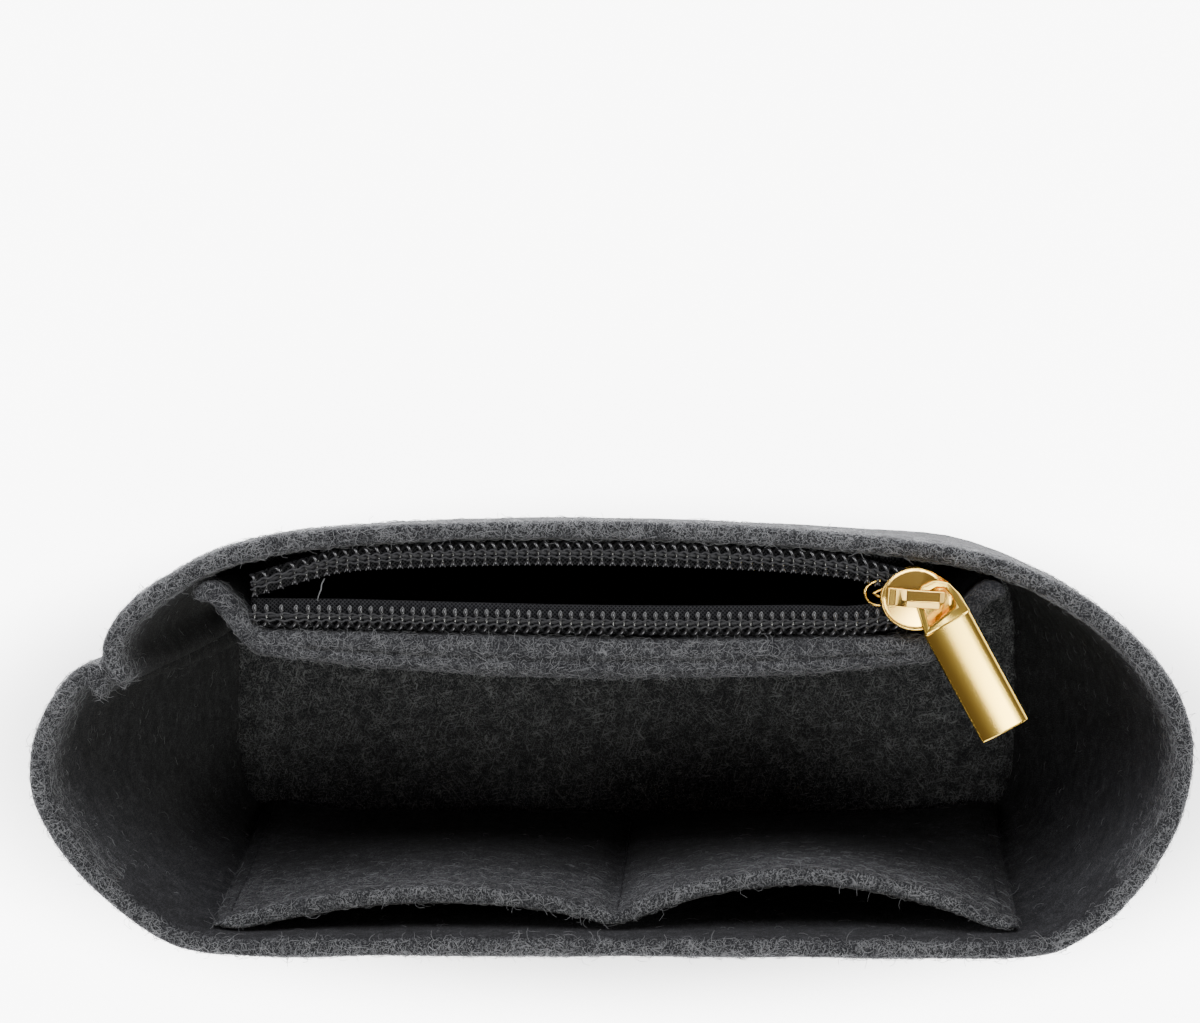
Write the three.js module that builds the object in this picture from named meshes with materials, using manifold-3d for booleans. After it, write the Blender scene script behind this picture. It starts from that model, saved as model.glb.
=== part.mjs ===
// A felt purse organizer insert: an open tray sewn from charcoal felt, with two slip pockets on
// its front wall and a zipped pocket on its back wall. All sizes are in millimetres, +Z is up,
// +X runs along the tray's length and -Y is its front. The origin is under the middle of the base.

import * as THREE from 'three';
import { mergeVertices } from 'three/addons/utils/BufferGeometryUtils.js';
import Module from 'manifold-3d';

const wasm = await Module();
wasm.setup();

// Felt tray
const rimLength = 164.6;
const rimDepth = 62;
const baseLength = 127;
const baseDepth = 50;
const height = 85;
const felt = 2.8;
const seamLip = 6;
const seamNotch = 1;
const sewnGap = 0.3;
const lipLean = THREE.MathUtils.degToRad(25);
const footSquareness = 6;
const bulgePower = 1.35;
const bowPower = 0.8;

// Slip pockets
const slipDrop = 5;
const slipFromLeft = 25.3;
const slipFromRight = 24.3;
const slipSeam = 0.6;
const slipMargin = 4;
const slipBows = [5.6, 6.4];

// Zipped pocket
const pocketFromLeft = 31.9;
const pocketFromRight = 35.3;
const pocketDrop = 1;
const pocketEndSetback = 10.1;
const pocketMidSetback = 13.7;
const pocketFlangeTurn = 4.6;
const pocketFlange = 4.6;
const hemDepth = 9;
const hemBulge = 3.2;
const hemStep = 0.8;
const hemPower = 0.5;

// Zip tape, its nylon coils and what sews them on
const tape = 0.5;
const tapeTurnDown = 8;
const tapeBelowRim = 3;
const coilWidth = 3.2;
const coilHeight = 2;
const coilWire = 0.5;
const coilLoops = 40;
const coreThread = 0.4;
const stitchThread = 0.3;
const stitchSpread = 0.9;
const rowFromLeft = 33;

// Slider
const sliderFromRight = 39.4;
const sliderFromWall = 5.5;
const sliderNose = 4.9;
const sliderTail = 5.4;
const sliderHalfWidth = 4.35;
const sliderTailHalfWidth = 1.4;
const sliderPlate = 0.9;
const sliderFlange = 0.9;
const sliderRunning = 0.35;
const bailWidth = 1.9;
const bailBar = 1.1;
const bailOpening = 1.9;
const bailNoseFoot = 2;
const bailTailFoot = 1.5;
const bailNoseInset = 0.9;
const bailTailInset = 1.4;
const bailBevel = 0.4;
const postLength = 3;
const postHalfWidth = 0.95;
const postTipHalfWidth = 0.15;
const postInset = 0.7;
const weld = 0.1;

// Pull
const pullWidth = 7.8;
const pullBlockStart = 3.7;
const pullBlockLength = 17.2;
const pullBlockThickness = 3;
const pullBlockSide = 1.2;
const pullRing = 1.2;
const pullRingBar = 1.4;
const pullRingEndWidth = 3;
const pullRingShoulder = 1.4;
const pullWindowEndWidth = 2.4;
const pullWindowWidth = 4.4;
const pullWindowEnd = 1.5;
const pullWindowFoot = 1.9;
const pullSwing = THREE.MathUtils.degToRad(-61.4);

// Sewing thread
const thread = 0.5;
const seamInset = 3;
const baseSeamRise = 1.4;

// Counts of faces
const wallColumns = 64;
const pocketColumns = 32;
const rowSteps = 16;
const roundSides = 6;
const loopSteps = 8;
const loopSides = 5;
const arcSteps = 10;
const flangePoints = 2;
const hemStride = 4;

// The rim seen from above, clockwise from the seam at the back left to the seam again, as shares
// of half the rim's length and half its depth.
const rimShares = [
  [-0.858, 0.519], [-0.823, 0.623], [-0.751, 0.758], [-0.673, 0.861], [-0.581, 0.926], [-0.470, 0.961],
  [-0.192, 0.997], [0.179, 0.984], [0.503, 0.919], [0.673, 0.829], [0.827, 0.623], [0.945, 0.329],
  [0.998, 0.019], [0.977, -0.377], [0.894, -0.726], [0.800, -0.930], [0.730, -0.994], [0.374, -1],
  [-0.385, -1], [-0.699, -1], [-0.796, -0.897], [-0.905, -0.658], [-0.988, -0.348], [-1, -0.129],
  [-0.984, 0.068], [-0.951, 0.226], [-0.930, 0.290],
];
const wallLevelShares = [0, 0.1, 0.25, 0.45, 0.65, 0.85, 1];
const pocketLevelShares = [0, 0.2, 0.45, 0.7];

// Where each open zip row lies between its closed line, 0, and the felt that carries it, 1, from
// the left end of the row to the mouth of the slider.
const backRowShares = [0.1, 0.97, 1, 1, 1, 1, 1, 1, 0.75];
const frontRowShares = [0.9, 1, 1, 1, 1, 1, 1, 1, 0.95];

// Where in the slider's nose, as a share of its length, the two rows have come together.
const meetingShare = 0.25;

const feltFinish = { color: 0x3a3b3e, roughness: 0.95, metalness: 0 };
const threadFinish = { color: 0x3a3b3e, roughness: 0.8, metalness: 0 };
const tapeFinish = { color: 0x121214, roughness: 0.85, metalness: 0 };
const coilFinish = { color: 0x121214, roughness: 0.35, metalness: 0 };
const sliderFinish = { color: 0xd9a548, roughness: 0.15, metalness: 1 };
const pullFinish = { color: 0xd9a548, roughness: 0.3, metalness: 1 };

const insert = new THREE.Group();

function addMesh(name, geometry, finish, parent = insert) {
  const mesh = new THREE.Mesh(geometry, new THREE.MeshStandardMaterial(finish));
  mesh.name = name;
  parent.add(mesh);
}

// Builds a closed body from vertices and triangles, and turns it the right way out.
function closedBody(vertices, triangles) {
  let volume = 0;
  const cross = new THREE.Vector3();
  for (const [a, b, c] of triangles) {
    volume += vertices[a].dot(cross.crossVectors(vertices[b], vertices[c]));
  }
  const faces = volume < 0 ? triangles.map(([a, b, c]) => [a, c, b]) : triangles;
  const numbers = vertices.flatMap((vertex) => vertex.toArray());
  const geometry = new THREE.BufferGeometry();
  geometry.setAttribute('position', new THREE.Float32BufferAttribute(numbers, 3));
  geometry.setIndex(faces.flat());
  geometry.computeVertexNormals();
  return geometry;
}

// A sheet: two grids of points, one for each face, joined along all four edges.
function sheet(front, back) {
  const rows = front.length;
  const columns = front[0].length;
  const vertices = [...front.flat(), ...back.flat()];
  const at = (face, row, column) => face * rows * columns + row * columns + column;
  const triangles = [];
  const quad = (a, b, c, d) => triangles.push([a, b, c], [a, c, d]);
  for (let row = 0; row < rows - 1; row += 1) {
    for (let column = 0; column < columns - 1; column += 1) {
      quad(at(0, row, column), at(0, row, column + 1), at(0, row + 1, column + 1), at(0, row + 1, column));
      quad(at(1, row, column), at(1, row + 1, column), at(1, row + 1, column + 1), at(1, row, column + 1));
    }
    quad(at(0, row, 0), at(0, row + 1, 0), at(1, row + 1, 0), at(1, row, 0));
    const end = columns - 1;
    quad(at(0, row, end), at(1, row, end), at(1, row + 1, end), at(0, row + 1, end));
  }
  for (let column = 0; column < columns - 1; column += 1) {
    const top = rows - 1;
    quad(at(0, 0, column), at(1, 0, column), at(1, 0, column + 1), at(0, 0, column + 1));
    quad(at(0, top, column), at(0, top, column + 1), at(1, top, column + 1), at(1, top, column));
  }
  return closedBody(vertices, triangles);
}

// A tube whose rings stand square to its path, each turned towards the point that it winds round.
function wound(centres, hubs, radius, sides) {
  const vertices = [];
  const triangles = [];
  const last = centres.length - 1;
  centres.forEach((centre, i) => {
    const along = centres[Math.min(i + 1, last)].clone().sub(centres[Math.max(i - 1, 0)]).normalize();
    const out = centre.clone().sub(hubs[i]);
    out.addScaledVector(along, -out.dot(along)).normalize();
    const side = new THREE.Vector3().crossVectors(along, out);
    for (let k = 0; k < sides; k += 1) {
      const angle = (2 * Math.PI * k) / sides;
      const reach = out.clone().multiplyScalar(Math.cos(angle)).addScaledVector(side, Math.sin(angle));
      vertices.push(centre.clone().addScaledVector(reach, radius));
    }
  });
  for (let i = 0; i < last; i += 1) {
    for (let k = 0; k < sides; k += 1) {
      const next = (k + 1) % sides;
      triangles.push([i * sides + k, i * sides + next, (i + 1) * sides + next]);
      triangles.push([i * sides + k, (i + 1) * sides + next, (i + 1) * sides + k]);
    }
  }
  for (let k = 1; k < sides - 1; k += 1) {
    triangles.push([0, k + 1, k]);
    triangles.push([last * sides, last * sides + k, last * sides + k + 1]);
  }
  return closedBody(vertices, triangles);
}

function roundShape(radius) {
  const points = [];
  for (let k = 0; k < roundSides; k += 1) {
    const angle = (2 * Math.PI * k) / roundSides;
    points.push(new THREE.Vector2(radius * Math.cos(angle), radius * Math.sin(angle)));
  }
  return new THREE.Shape(points);
}

function cord(points, diameter, steps) {
  const path = new THREE.CatmullRomCurve3(points, false, 'centripetal');
  return new THREE.ExtrudeGeometry(roundShape(diameter / 2), { steps, extrudePath: path });
}

// Closed solids for cutting and joining.
function solidOf(geometry) {
  const bare = geometry.clone();
  bare.deleteAttribute('normal');
  bare.deleteAttribute('uv');
  const merged = mergeVertices(bare);
  const vertProperties = new Float32Array(merged.getAttribute('position').array);
  const triVerts = new Uint32Array(merged.getIndex().array);
  return new wasm.Manifold(new wasm.Mesh({ numProp: 3, vertProperties, triVerts }));
}

function geometryOf(solid) {
  const mesh = solid.getMesh();
  const geometry = new THREE.BufferGeometry();
  geometry.setAttribute('position', new THREE.Float32BufferAttribute(mesh.vertProperties, 3));
  geometry.setIndex(Array.from(mesh.triVerts));
  geometry.computeVertexNormals();
  return geometry;
}

function slab(shape, bottom, top) {
  const settings = { depth: top - bottom, bevelEnabled: false, curveSegments: arcSteps };
  return new THREE.ExtrudeGeometry(shape, settings).translate(0, 0, bottom);
}

const rimPoints = rimShares.map(([x, y]) => new THREE.Vector3(x, y, 0));
const rimCurve = new THREE.CatmullRomCurve3(rimPoints, false, 'centripetal');

// How far the wall has spread at a height, from its foot, 0, to its rim, 1.
function spreadAt(z) {
  return 1 - Math.pow(1 - z / height, bulgePower);
}

// The wall's outer face seen from above at a height, clockwise from the seam round to the seam.
function wallOutline(z) {
  return rimCurve.getPoints(wallColumns).map(({ x, y }) => {
    const sum = Math.pow(Math.abs(x), footSquareness) + Math.pow(Math.abs(y), footSquareness);
    const reach = Math.pow(sum, 1 / footSquareness);
    const foot = new THREE.Vector2((x * baseLength) / 2, (y * baseDepth) / 2).divideScalar(reach);
    const rim = new THREE.Vector2((x * rimLength) / 2, (y * rimDepth) / 2);
    return foot.lerp(rim, spreadAt(z));
  });
}

// Moves an open path to its right by a distance, keeping its corners mitred.
function offsetPath(path, distance) {
  const last = path.length - 1;
  return path.map((point, i) => {
    const before = point.clone().sub(path[Math.max(i - 1, 0)]).normalize();
    const after = path[Math.min(i + 1, last)].clone().sub(point).normalize();
    const first = i === 0 ? after : before;
    const second = i === last ? before : after;
    const right = new THREE.Vector2(first.y, -first.x);
    const mitre = right.clone().add(new THREE.Vector2(second.y, -second.x)).normalize();
    return point.clone().addScaledVector(mitre, distance / mitre.dot(right));
  });
}

// The seam at the back left: where its two lips start, the way they point and the way across.
function seamAt(z) {
  const outline = wallOutline(z);
  const along = outline[0].clone().sub(outline[outline.length - 1]).normalize();
  const inward = new THREE.Vector2(along.y, -along.x);
  const middle = outline[0].clone().add(outline[outline.length - 1]).multiplyScalar(0.5);
  const root = middle.addScaledVector(inward, seamNotch);
  const lip = inward.clone().rotateAround(new THREE.Vector2(), -lipLean * spreadAt(z));
  const across = new THREE.Vector2(-lip.y, lip.x);
  return { root, lip, across };
}

// The whole felt strip seen from above: lip, wall, lip.
function bandPath(z) {
  const { root, lip, across } = seamAt(z);
  const backRoot = root.clone().addScaledVector(across, sewnGap / 2);
  const leftRoot = root.clone().addScaledVector(across, -sewnGap / 2);
  const backTip = backRoot.clone().addScaledVector(lip, seamLip);
  const leftTip = leftRoot.clone().addScaledVector(lip, seamLip);
  return [backTip, backRoot, ...wallOutline(z), leftRoot, leftTip];
}

// The Y of the wall's inner face at a length along the tray, on its back (side 1) or front (-1).
function wallInnerY(x, z, side) {
  const face = offsetPath(wallOutline(z), felt);
  for (let i = 0; i < face.length - 1; i += 1) {
    const low = Math.min(face[i].x, face[i + 1].x);
    const high = Math.max(face[i].x, face[i + 1].x);
    if (x >= low && x <= high && face[i].y * side > 0 && high > low) {
      const share = (x - face[i].x) / (face[i + 1].x - face[i].x);
      return face[i].y + share * (face[i + 1].y - face[i].y);
    }
  }
  return side * (baseDepth / 2 - felt);
}

function lift(path, z) {
  return path.map((point) => new THREE.Vector3(point.x, point.y, z));
}

// Wall and base
const wallLevels = wallLevelShares.map((share) => share * height);
addMesh(
  'wall_band',
  sheet(
    wallLevels.map((z) => lift(bandPath(z), z)),
    wallLevels.map((z) => lift(offsetPath(bandPath(z), felt), z)),
  ),
  feltFinish,
);

// The base fills the wall's foot, with a notch round the seam's lips.
function basePanel() {
  const edge = offsetPath(wallOutline(0), felt + sewnGap);
  const { root, lip, across } = seamAt(0);
  const reach = seamLip + sewnGap;
  const half = sewnGap / 2 + felt + sewnGap;
  const backCorner = root.clone().addScaledVector(lip, reach).addScaledVector(across, half);
  const leftCorner = root.clone().addScaledVector(lip, reach).addScaledVector(across, -half);
  const beside = (point) => Math.abs(point.clone().sub(root).dot(across)) > half;
  const clear = edge.filter((point) => point.x > root.x + reach || beside(point));
  const outline = [...clear, leftCorner, backCorner];
  const count = outline.length;
  const middles = [new THREE.Vector3(), new THREE.Vector3(0, 0, felt)];
  const vertices = [...lift(outline, 0), ...lift(outline, felt), ...middles];
  const triangles = [];
  for (let i = 0; i < count; i += 1) {
    const next = (i + 1) % count;
    triangles.push([i, next, 2 * count]);
    triangles.push([count + next, count + i, 2 * count + 1]);
    triangles.push([i, count + i, count + next]);
    triangles.push([i, count + next, next]);
  }
  return closedBody(vertices, triangles);
}

addMesh('base_panel', basePanel(), feltFinish);

// Slip pockets: one panel sewn to the front wall down both sides and down the middle
const slipLeft = rimLength / 2 - slipFromLeft;
const slipRight = rimLength / 2 - slipFromRight;
const slipTop = height - slipDrop;
const slipFoot = felt + sewnGap;

// How far the panel stands off the wall: each pocket bows out between its seams, most at the top.
function slipBow(x, z) {
  const left = x < slipSeam;
  const start = left ? -slipLeft + slipMargin : slipSeam;
  const end = left ? slipSeam : slipRight - slipMargin;
  const share = THREE.MathUtils.clamp((x - start) / (end - start), 0, 1);
  const rise = (z - slipFoot) / (slipTop - slipFoot);
  return slipBows[left ? 0 : 1] * Math.pow(Math.sin(Math.PI * share), bowPower) * rise;
}

function slipBackY(x, z) {
  return wallInnerY(x, z, -1) + sewnGap + slipBow(x, z);
}

function slipGrid(depth) {
  return [...pocketLevelShares, 1].map((share) => {
    const z = slipFoot + share * (slipTop - slipFoot);
    const row = [];
    for (let i = 0; i <= pocketColumns; i += 1) {
      const x = THREE.MathUtils.lerp(-slipLeft, slipRight, i / pocketColumns);
      row.push(new THREE.Vector3(x, slipBackY(x, z) + depth, z));
    }
    return row;
  });
}

addMesh('slip_pocket_panel', sheet(slipGrid(0), slipGrid(felt)), feltFinish);

// Zipped pocket: a panel whose two ends turn back to the wall and lie flat against it
const pocketLeft = rimLength / 2 - pocketFromLeft;
const pocketRight = rimLength / 2 - pocketFromRight;
const pocketTop = height - pocketDrop;
const pocketFoot = felt + sewnGap;

function pocketSetback(share) {
  const bow = Math.pow(Math.sin(Math.PI * share), bowPower);
  return THREE.MathUtils.lerp(pocketEndSetback, pocketMidSetback, bow);
}

// The panel's face towards the back wall, as a path from its left flange to its right flange.
function pocketPath(z) {
  const rise = (z - pocketFoot) / (pocketTop - pocketFoot);
  const onWall = (x) => new THREE.Vector2(x, wallInnerY(x, z, 1) - sewnGap);
  const path = [];
  const leftTurn = -pocketLeft - pocketFlangeTurn;
  const rightTurn = pocketRight + pocketFlangeTurn;
  path.push(onWall(leftTurn - pocketFlange), onWall(leftTurn));
  for (let i = 0; i <= pocketColumns; i += 1) {
    const share = i / pocketColumns;
    const x = THREE.MathUtils.lerp(-pocketLeft, pocketRight, share);
    path.push(new THREE.Vector2(x, wallInnerY(x, z, 1) - sewnGap - rise * pocketSetback(share)));
  }
  path.push(onWall(rightTurn), onWall(rightTurn + pocketFlange));
  return path;
}

// The panel's top edge is folded over and bulges, most in the middle.
function hemExtra(index, z) {
  if (z < pocketTop - hemDepth) {
    return 0;
  }
  const share = THREE.MathUtils.clamp((index - flangePoints) / pocketColumns, 0, 1);
  return hemBulge * Math.pow(Math.sin(Math.PI * share), hemPower);
}

const pocketLevels = [
  ...pocketLevelShares.map((share) => pocketFoot + share * (pocketTop - pocketFoot)),
  pocketTop - hemDepth - hemStep,
  pocketTop - hemDepth,
  pocketTop,
];

// The panel's face towards the compartment, moved out by a clearance.
function pocketFront(z, clearance) {
  return offsetPath(pocketPath(z), felt + clearance).map((point, i) => {
    return new THREE.Vector3(point.x, point.y - hemExtra(i, z), z);
  });
}

addMesh(
  'zip_pocket_panel',
  sheet(pocketLevels.map((z) => lift(pocketPath(z), z)), pocketLevels.map((z) => pocketFront(z, 0))),
  feltFinish,
);

// Zip rows: each follows its own bowed line when open and meets the other inside the slider
const tapeTop = height - tapeBelowRim;
const closedHalf = coilWidth / 2 + sewnGap / 2;
const rowLeftEnd = rimLength / 2 - rowFromLeft;
const sliderPlace = rimLength / 2 - sliderFromRight;
const zipCentre = wallInnerY(sliderPlace, tapeTop, 1) - sliderFromWall;
const sliderMouth = sliderPlace - sliderNose;
const rowRightEnd = sliderPlace + sliderTail / 2;

// The Y of the felt face that carries a zip row, on the wall (side 1) or the panel (side -1), less
// the clearance to what is sewn on it.
function feltFaceY(side, x, z) {
  if (side > 0) {
    return wallInnerY(x, z, 1) - sewnGap;
  }
  const path = pocketPath(z);
  for (let i = 0; i < path.length - 1; i += 1) {
    if (x >= path[i].x && x <= path[i + 1].x) {
      const share = (x - path[i].x) / (path[i + 1].x - path[i].x);
      return THREE.MathUtils.lerp(path[i].y, path[i + 1].y, share) + sewnGap;
    }
  }
  return path[2].y + sewnGap;
}

function rowLine(side) {
  const shares = side > 0 ? backRowShares : frontRowShares;
  const points = shares.map((share, i) => {
    const x = THREE.MathUtils.lerp(-rowLeftEnd, sliderMouth, i / (shares.length - 1));
    const closedY = zipCentre + side * closedHalf;
    const openY = feltFaceY(side, x, tapeTop) - (side * coilWidth) / 2;
    return new THREE.Vector3(x, THREE.MathUtils.lerp(closedY, openY, share), tapeTop);
  });
  const meetingX = sliderPlace - sliderNose * meetingShare;
  points.push(new THREE.Vector3(meetingX, zipCentre + side * (closedHalf + sewnGap), tapeTop));
  points.push(new THREE.Vector3(rowRightEnd, zipCentre + side * closedHalf, tapeTop));
  return new THREE.CatmullRomCurve3(points, false, 'centripetal');
}

const rows = { back: { side: 1, line: rowLine(1) }, front: { side: -1, line: rowLine(-1) } };

// A path beside a row, moved across the row and up from the tape.
function besideRow(row, across, up, steps = rowSteps) {
  return row.line.getSpacedPoints(steps).map((point) => {
    return new THREE.Vector3(point.x, point.y + row.side * across, point.z + up);
  });
}

// The tape lies flat under the coil, then turns down the face of the felt that it is sewn to.
function tapeGrid(row, face) {
  const edges = besideRow(row, -coilWidth / 2, -tape * face);
  return edges.map((edge) => {
    const low = tapeTop - tapeTurnDown;
    const bendY = feltFaceY(row.side, edge.x, tapeTop) - row.side * tape * face;
    const lowY = feltFaceY(row.side, edge.x, low) - row.side * tape * face;
    const bend = new THREE.Vector3(edge.x, bendY, edge.z);
    const foot = new THREE.Vector3(edge.x, lowY, low);
    return [edge, bend, foot];
  });
}

// A nylon coil: one unbroken monofilament wound round its core, flattened to the coil's width. Its
// two ends run straight for one wire's width.
function coilRow(row) {
  const steps = coilLoops * loopSteps;
  const halfWidth = (coilWidth - coilWire) / 2;
  const halfHeight = (coilHeight - coilWire) / 2;
  const hubs = besideRow(row, 0, sewnGap + coilHeight / 2, steps);
  const centres = hubs.map((hub, i) => {
    const angle = (2 * Math.PI * i) / loopSteps;
    const across = row.side * halfWidth * Math.cos(angle);
    return new THREE.Vector3(hub.x, hub.y + across, hub.z + halfHeight * Math.sin(angle));
  });
  let least = Infinity;
  for (let i = 0; i < centres.length; i += 1) {
    for (let j = i + loopSteps / 2; j < Math.min(i + 2 * loopSteps, centres.length); j += 1) {
      least = Math.min(least, centres[i].distanceTo(centres[j]) - coilWire);
    }
  }
  const [first, second] = centres;
  const [fore, last] = centres.slice(-2);
  const start = first.clone().add(first.clone().sub(second).setLength(coilWire));
  const end = last.clone().add(last.clone().sub(fore).setLength(coilWire));
  const path = [start, ...centres, end];
  const turns = [hubs[0], ...hubs, hubs[steps]];
  return { geometry: wound(path, turns, coilWire / 2, loopSides), least };
}

for (const [name, row] of Object.entries(rows)) {
  addMesh(`zip_tape_${name}`, sheet(tapeGrid(row, 0), tapeGrid(row, 1)), tapeFinish);
  const coil = coilRow(row);
  console.log(`zip_coil_${name}: least gap to itself ${coil.least.toFixed(2)} mm`);
  addMesh(`zip_coil_${name}`, coil.geometry, coilFinish);
  const coreUp = sewnGap + coilHeight / 2;
  addMesh(`zip_core_${name}`, cord(besideRow(row, 0, coreUp), coreThread, rowSteps), tapeFinish);
  const stitchUp = sewnGap + coilHeight + sewnGap + stitchThread / 2;
  for (const [place, across] of [['inner', -stitchSpread / 2], ['outer', stitchSpread / 2]]) {
    const path = besideRow(row, across, stitchUp);
    addMesh(`zip_stitch_${name}_${place}`, cord(path, stitchThread, rowSteps), tapeFinish);
  }
}

// Slider: two plates joined by a post between the rows, with a bail on top, in one casting
const channelTop = sewnGap + coilHeight + sewnGap + stitchThread + sewnGap;
const plateTop = channelTop + sliderPlate;
const channelFloor = -tape - sewnGap;
const plateBottom = channelFloor - sliderPlate;
const bailTop = plateTop + bailOpening + bailBar;
const bailNose = -sliderNose + bailNoseInset;
const bailTail = sliderTail - bailTailInset;

function sliderOutline() {
  const shape = new THREE.Shape();
  const shoulder = sliderFlange / 2;
  shape.moveTo(shoulder, sliderHalfWidth);
  shape.lineTo(0, sliderHalfWidth);
  shape.absellipse(0, 0, sliderNose, sliderHalfWidth, Math.PI / 2, (3 * Math.PI) / 2, false);
  shape.lineTo(shoulder, -sliderHalfWidth);
  shape.lineTo(sliderTail - sliderFlange, -sliderTailHalfWidth - sliderFlange);
  shape.lineTo(sliderTail, -sliderTailHalfWidth);
  shape.lineTo(sliderTail, sliderTailHalfWidth);
  shape.lineTo(sliderTail - sliderFlange, sliderTailHalfWidth + sliderFlange);
  return shape;
}

function channelShape() {
  const half = closedHalf + coilWidth / 2 + sliderRunning;
  const mouth = sliderHalfWidth + sliderFlange;
  const past = sliderTail + weld;
  return new THREE.Shape([
    new THREE.Vector2(past, half),
    new THREE.Vector2(0, half),
    new THREE.Vector2(-sliderNose - weld, mouth),
    new THREE.Vector2(-sliderNose - weld, -mouth),
    new THREE.Vector2(0, -half),
    new THREE.Vector2(past, -half),
  ]);
}

function tapeSlotShape() {
  const wide = sliderHalfWidth + sliderFlange;
  const long = sliderNose + sliderTail;
  return new THREE.Shape([
    new THREE.Vector2(-long, -wide),
    new THREE.Vector2(long, -wide),
    new THREE.Vector2(long, wide),
    new THREE.Vector2(-long, wide),
  ]);
}

function postShape() {
  const start = -sliderNose + postInset;
  return new THREE.Shape([
    new THREE.Vector2(start, -postHalfWidth),
    new THREE.Vector2(start + postLength, -postTipHalfWidth),
    new THREE.Vector2(start + postLength, postTipHalfWidth),
    new THREE.Vector2(start, postHalfWidth),
  ]);
}

function bailShape() {
  return new THREE.Shape([
    new THREE.Vector2(bailNose, plateTop - weld),
    new THREE.Vector2(bailTail, plateTop - weld),
    new THREE.Vector2(bailTail, bailTop - bailBevel),
    new THREE.Vector2(bailTail - bailBevel, bailTop),
    new THREE.Vector2(bailNose + bailBevel, bailTop),
    new THREE.Vector2(bailNose, bailTop - bailBevel),
  ]);
}

function bailHoleShape() {
  return new THREE.Shape([
    new THREE.Vector2(bailNose + bailNoseFoot, plateTop),
    new THREE.Vector2(bailTail - bailTailFoot, plateTop),
    new THREE.Vector2(bailTail - bailTailFoot, bailTop - bailBar),
    new THREE.Vector2(bailNose + bailNoseFoot, bailTop - bailBar),
  ]);
}

// Extrudes a shape drawn in X and Z across the slider, over a width centred on its line.
function acrossSlider(shape, width) {
  const geometry = new THREE.ExtrudeGeometry(shape, { depth: width, bevelEnabled: false });
  return geometry.rotateX(Math.PI / 2).translate(0, width / 2, 0);
}

function sliderBody() {
  const block = solidOf(slab(sliderOutline(), plateBottom, plateTop));
  const channel = solidOf(slab(channelShape(), channelFloor, channelTop));
  const slot = solidOf(slab(tapeSlotShape(), channelFloor, sewnGap));
  const post = solidOf(slab(postShape(), channelFloor - weld, channelTop + weld));
  const bail = solidOf(acrossSlider(bailShape(), bailWidth));
  const hole = solidOf(acrossSlider(bailHoleShape(), bailWidth + 2 * weld));
  return block.subtract(channel).subtract(slot).add(post).add(bail.subtract(hole));
}

const slider = new THREE.Group();
slider.position.set(sliderPlace, zipCentre, tapeTop);
insert.add(slider);
addMesh('slider_body', geometryOf(sliderBody()), sliderFinish, slider);

// Pull: a ring threaded on the bail's tail foot, and a bar, in one casting
function pullRingShape() {
  const end = -pullWindowEnd - pullRingBar;
  const shoulder = end + pullRingShoulder;
  const half = pullWidth / 2;
  const foot = pullBlockStart + pullRingBar;
  const shape = new THREE.Shape([
    new THREE.Vector2(end, -pullRingEndWidth / 2),
    new THREE.Vector2(foot, -half),
    new THREE.Vector2(foot, half),
    new THREE.Vector2(end, pullRingEndWidth / 2),
  ]);
  shape.holes.push(new THREE.Path([
    new THREE.Vector2(-pullWindowEnd, -pullWindowEndWidth / 2),
    new THREE.Vector2(-pullWindowEnd, pullWindowEndWidth / 2),
    new THREE.Vector2(shoulder + pullRingBar, pullWindowWidth / 2),
    new THREE.Vector2(pullWindowFoot, pullWindowWidth / 2),
    new THREE.Vector2(pullWindowFoot, -pullWindowWidth / 2),
    new THREE.Vector2(shoulder + pullRingBar, -pullWindowWidth / 2),
  ]));
  return shape;
}

// The bar's section: flat at the back, with upright sides and a rounded front.
function pullSection() {
  const half = pullWidth / 2;
  const back = -pullBlockThickness / 2;
  const shape = new THREE.Shape();
  shape.moveTo(-half, back);
  shape.lineTo(half, back);
  shape.lineTo(half, back + pullBlockSide);
  shape.absellipse(0, back + pullBlockSide, half, pullBlockThickness - pullBlockSide, 0, Math.PI, false);
  return shape;
}

function pullBlock() {
  const settings = { depth: pullBlockLength, bevelEnabled: false, curveSegments: arcSteps };
  const geometry = new THREE.ExtrudeGeometry(pullSection(), settings);
  return geometry.rotateZ(Math.PI / 2).rotateY(Math.PI / 2).translate(pullBlockStart, 0, 0);
}

const pull = new THREE.Group();
const pivotX = bailTail - bailTailFoot / 2;
pull.position.set(pivotX, 0, plateTop + sliderRunning + pullRing / 2);
pull.rotation.z = pullSwing;
slider.add(pull);
const ring = solidOf(slab(pullRingShape(), -pullRing / 2, pullRing / 2));
addMesh('pull', geometryOf(ring.add(solidOf(pullBlock()))), pullFinish, pull);

// Sewing threads: each seam's thread lies along it, just clear of the felt
const threadOff = sewnGap + thread / 2;

function seamThread(name, points) {
  addMesh(name, cord(points, thread, 2 * points.length), threadFinish);
}

function wallSeamPoint(z) {
  const { root, lip, across } = seamAt(z);
  const point = root.clone().addScaledVector(lip, seamLip - thread);
  point.addScaledVector(across, -sewnGap / 2 - felt - threadOff);
  return new THREE.Vector3(point.x, point.y, z);
}

seamThread('wall_seam_thread', wallLevels.slice(1, -1).map(wallSeamPoint));

const baseFace = wallOutline(baseSeamRise);
const basePath = lift(offsetPath(baseFace, -threadOff), baseSeamRise);
const baseThread = wound(basePath, lift(baseFace, baseSeamRise), thread / 2, loopSides);
addMesh('base_seam_thread', baseThread, threadFinish);

function slipSeamPoint(x, z) {
  return new THREE.Vector3(x, slipBackY(x, z) + felt + threadOff, z);
}

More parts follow.
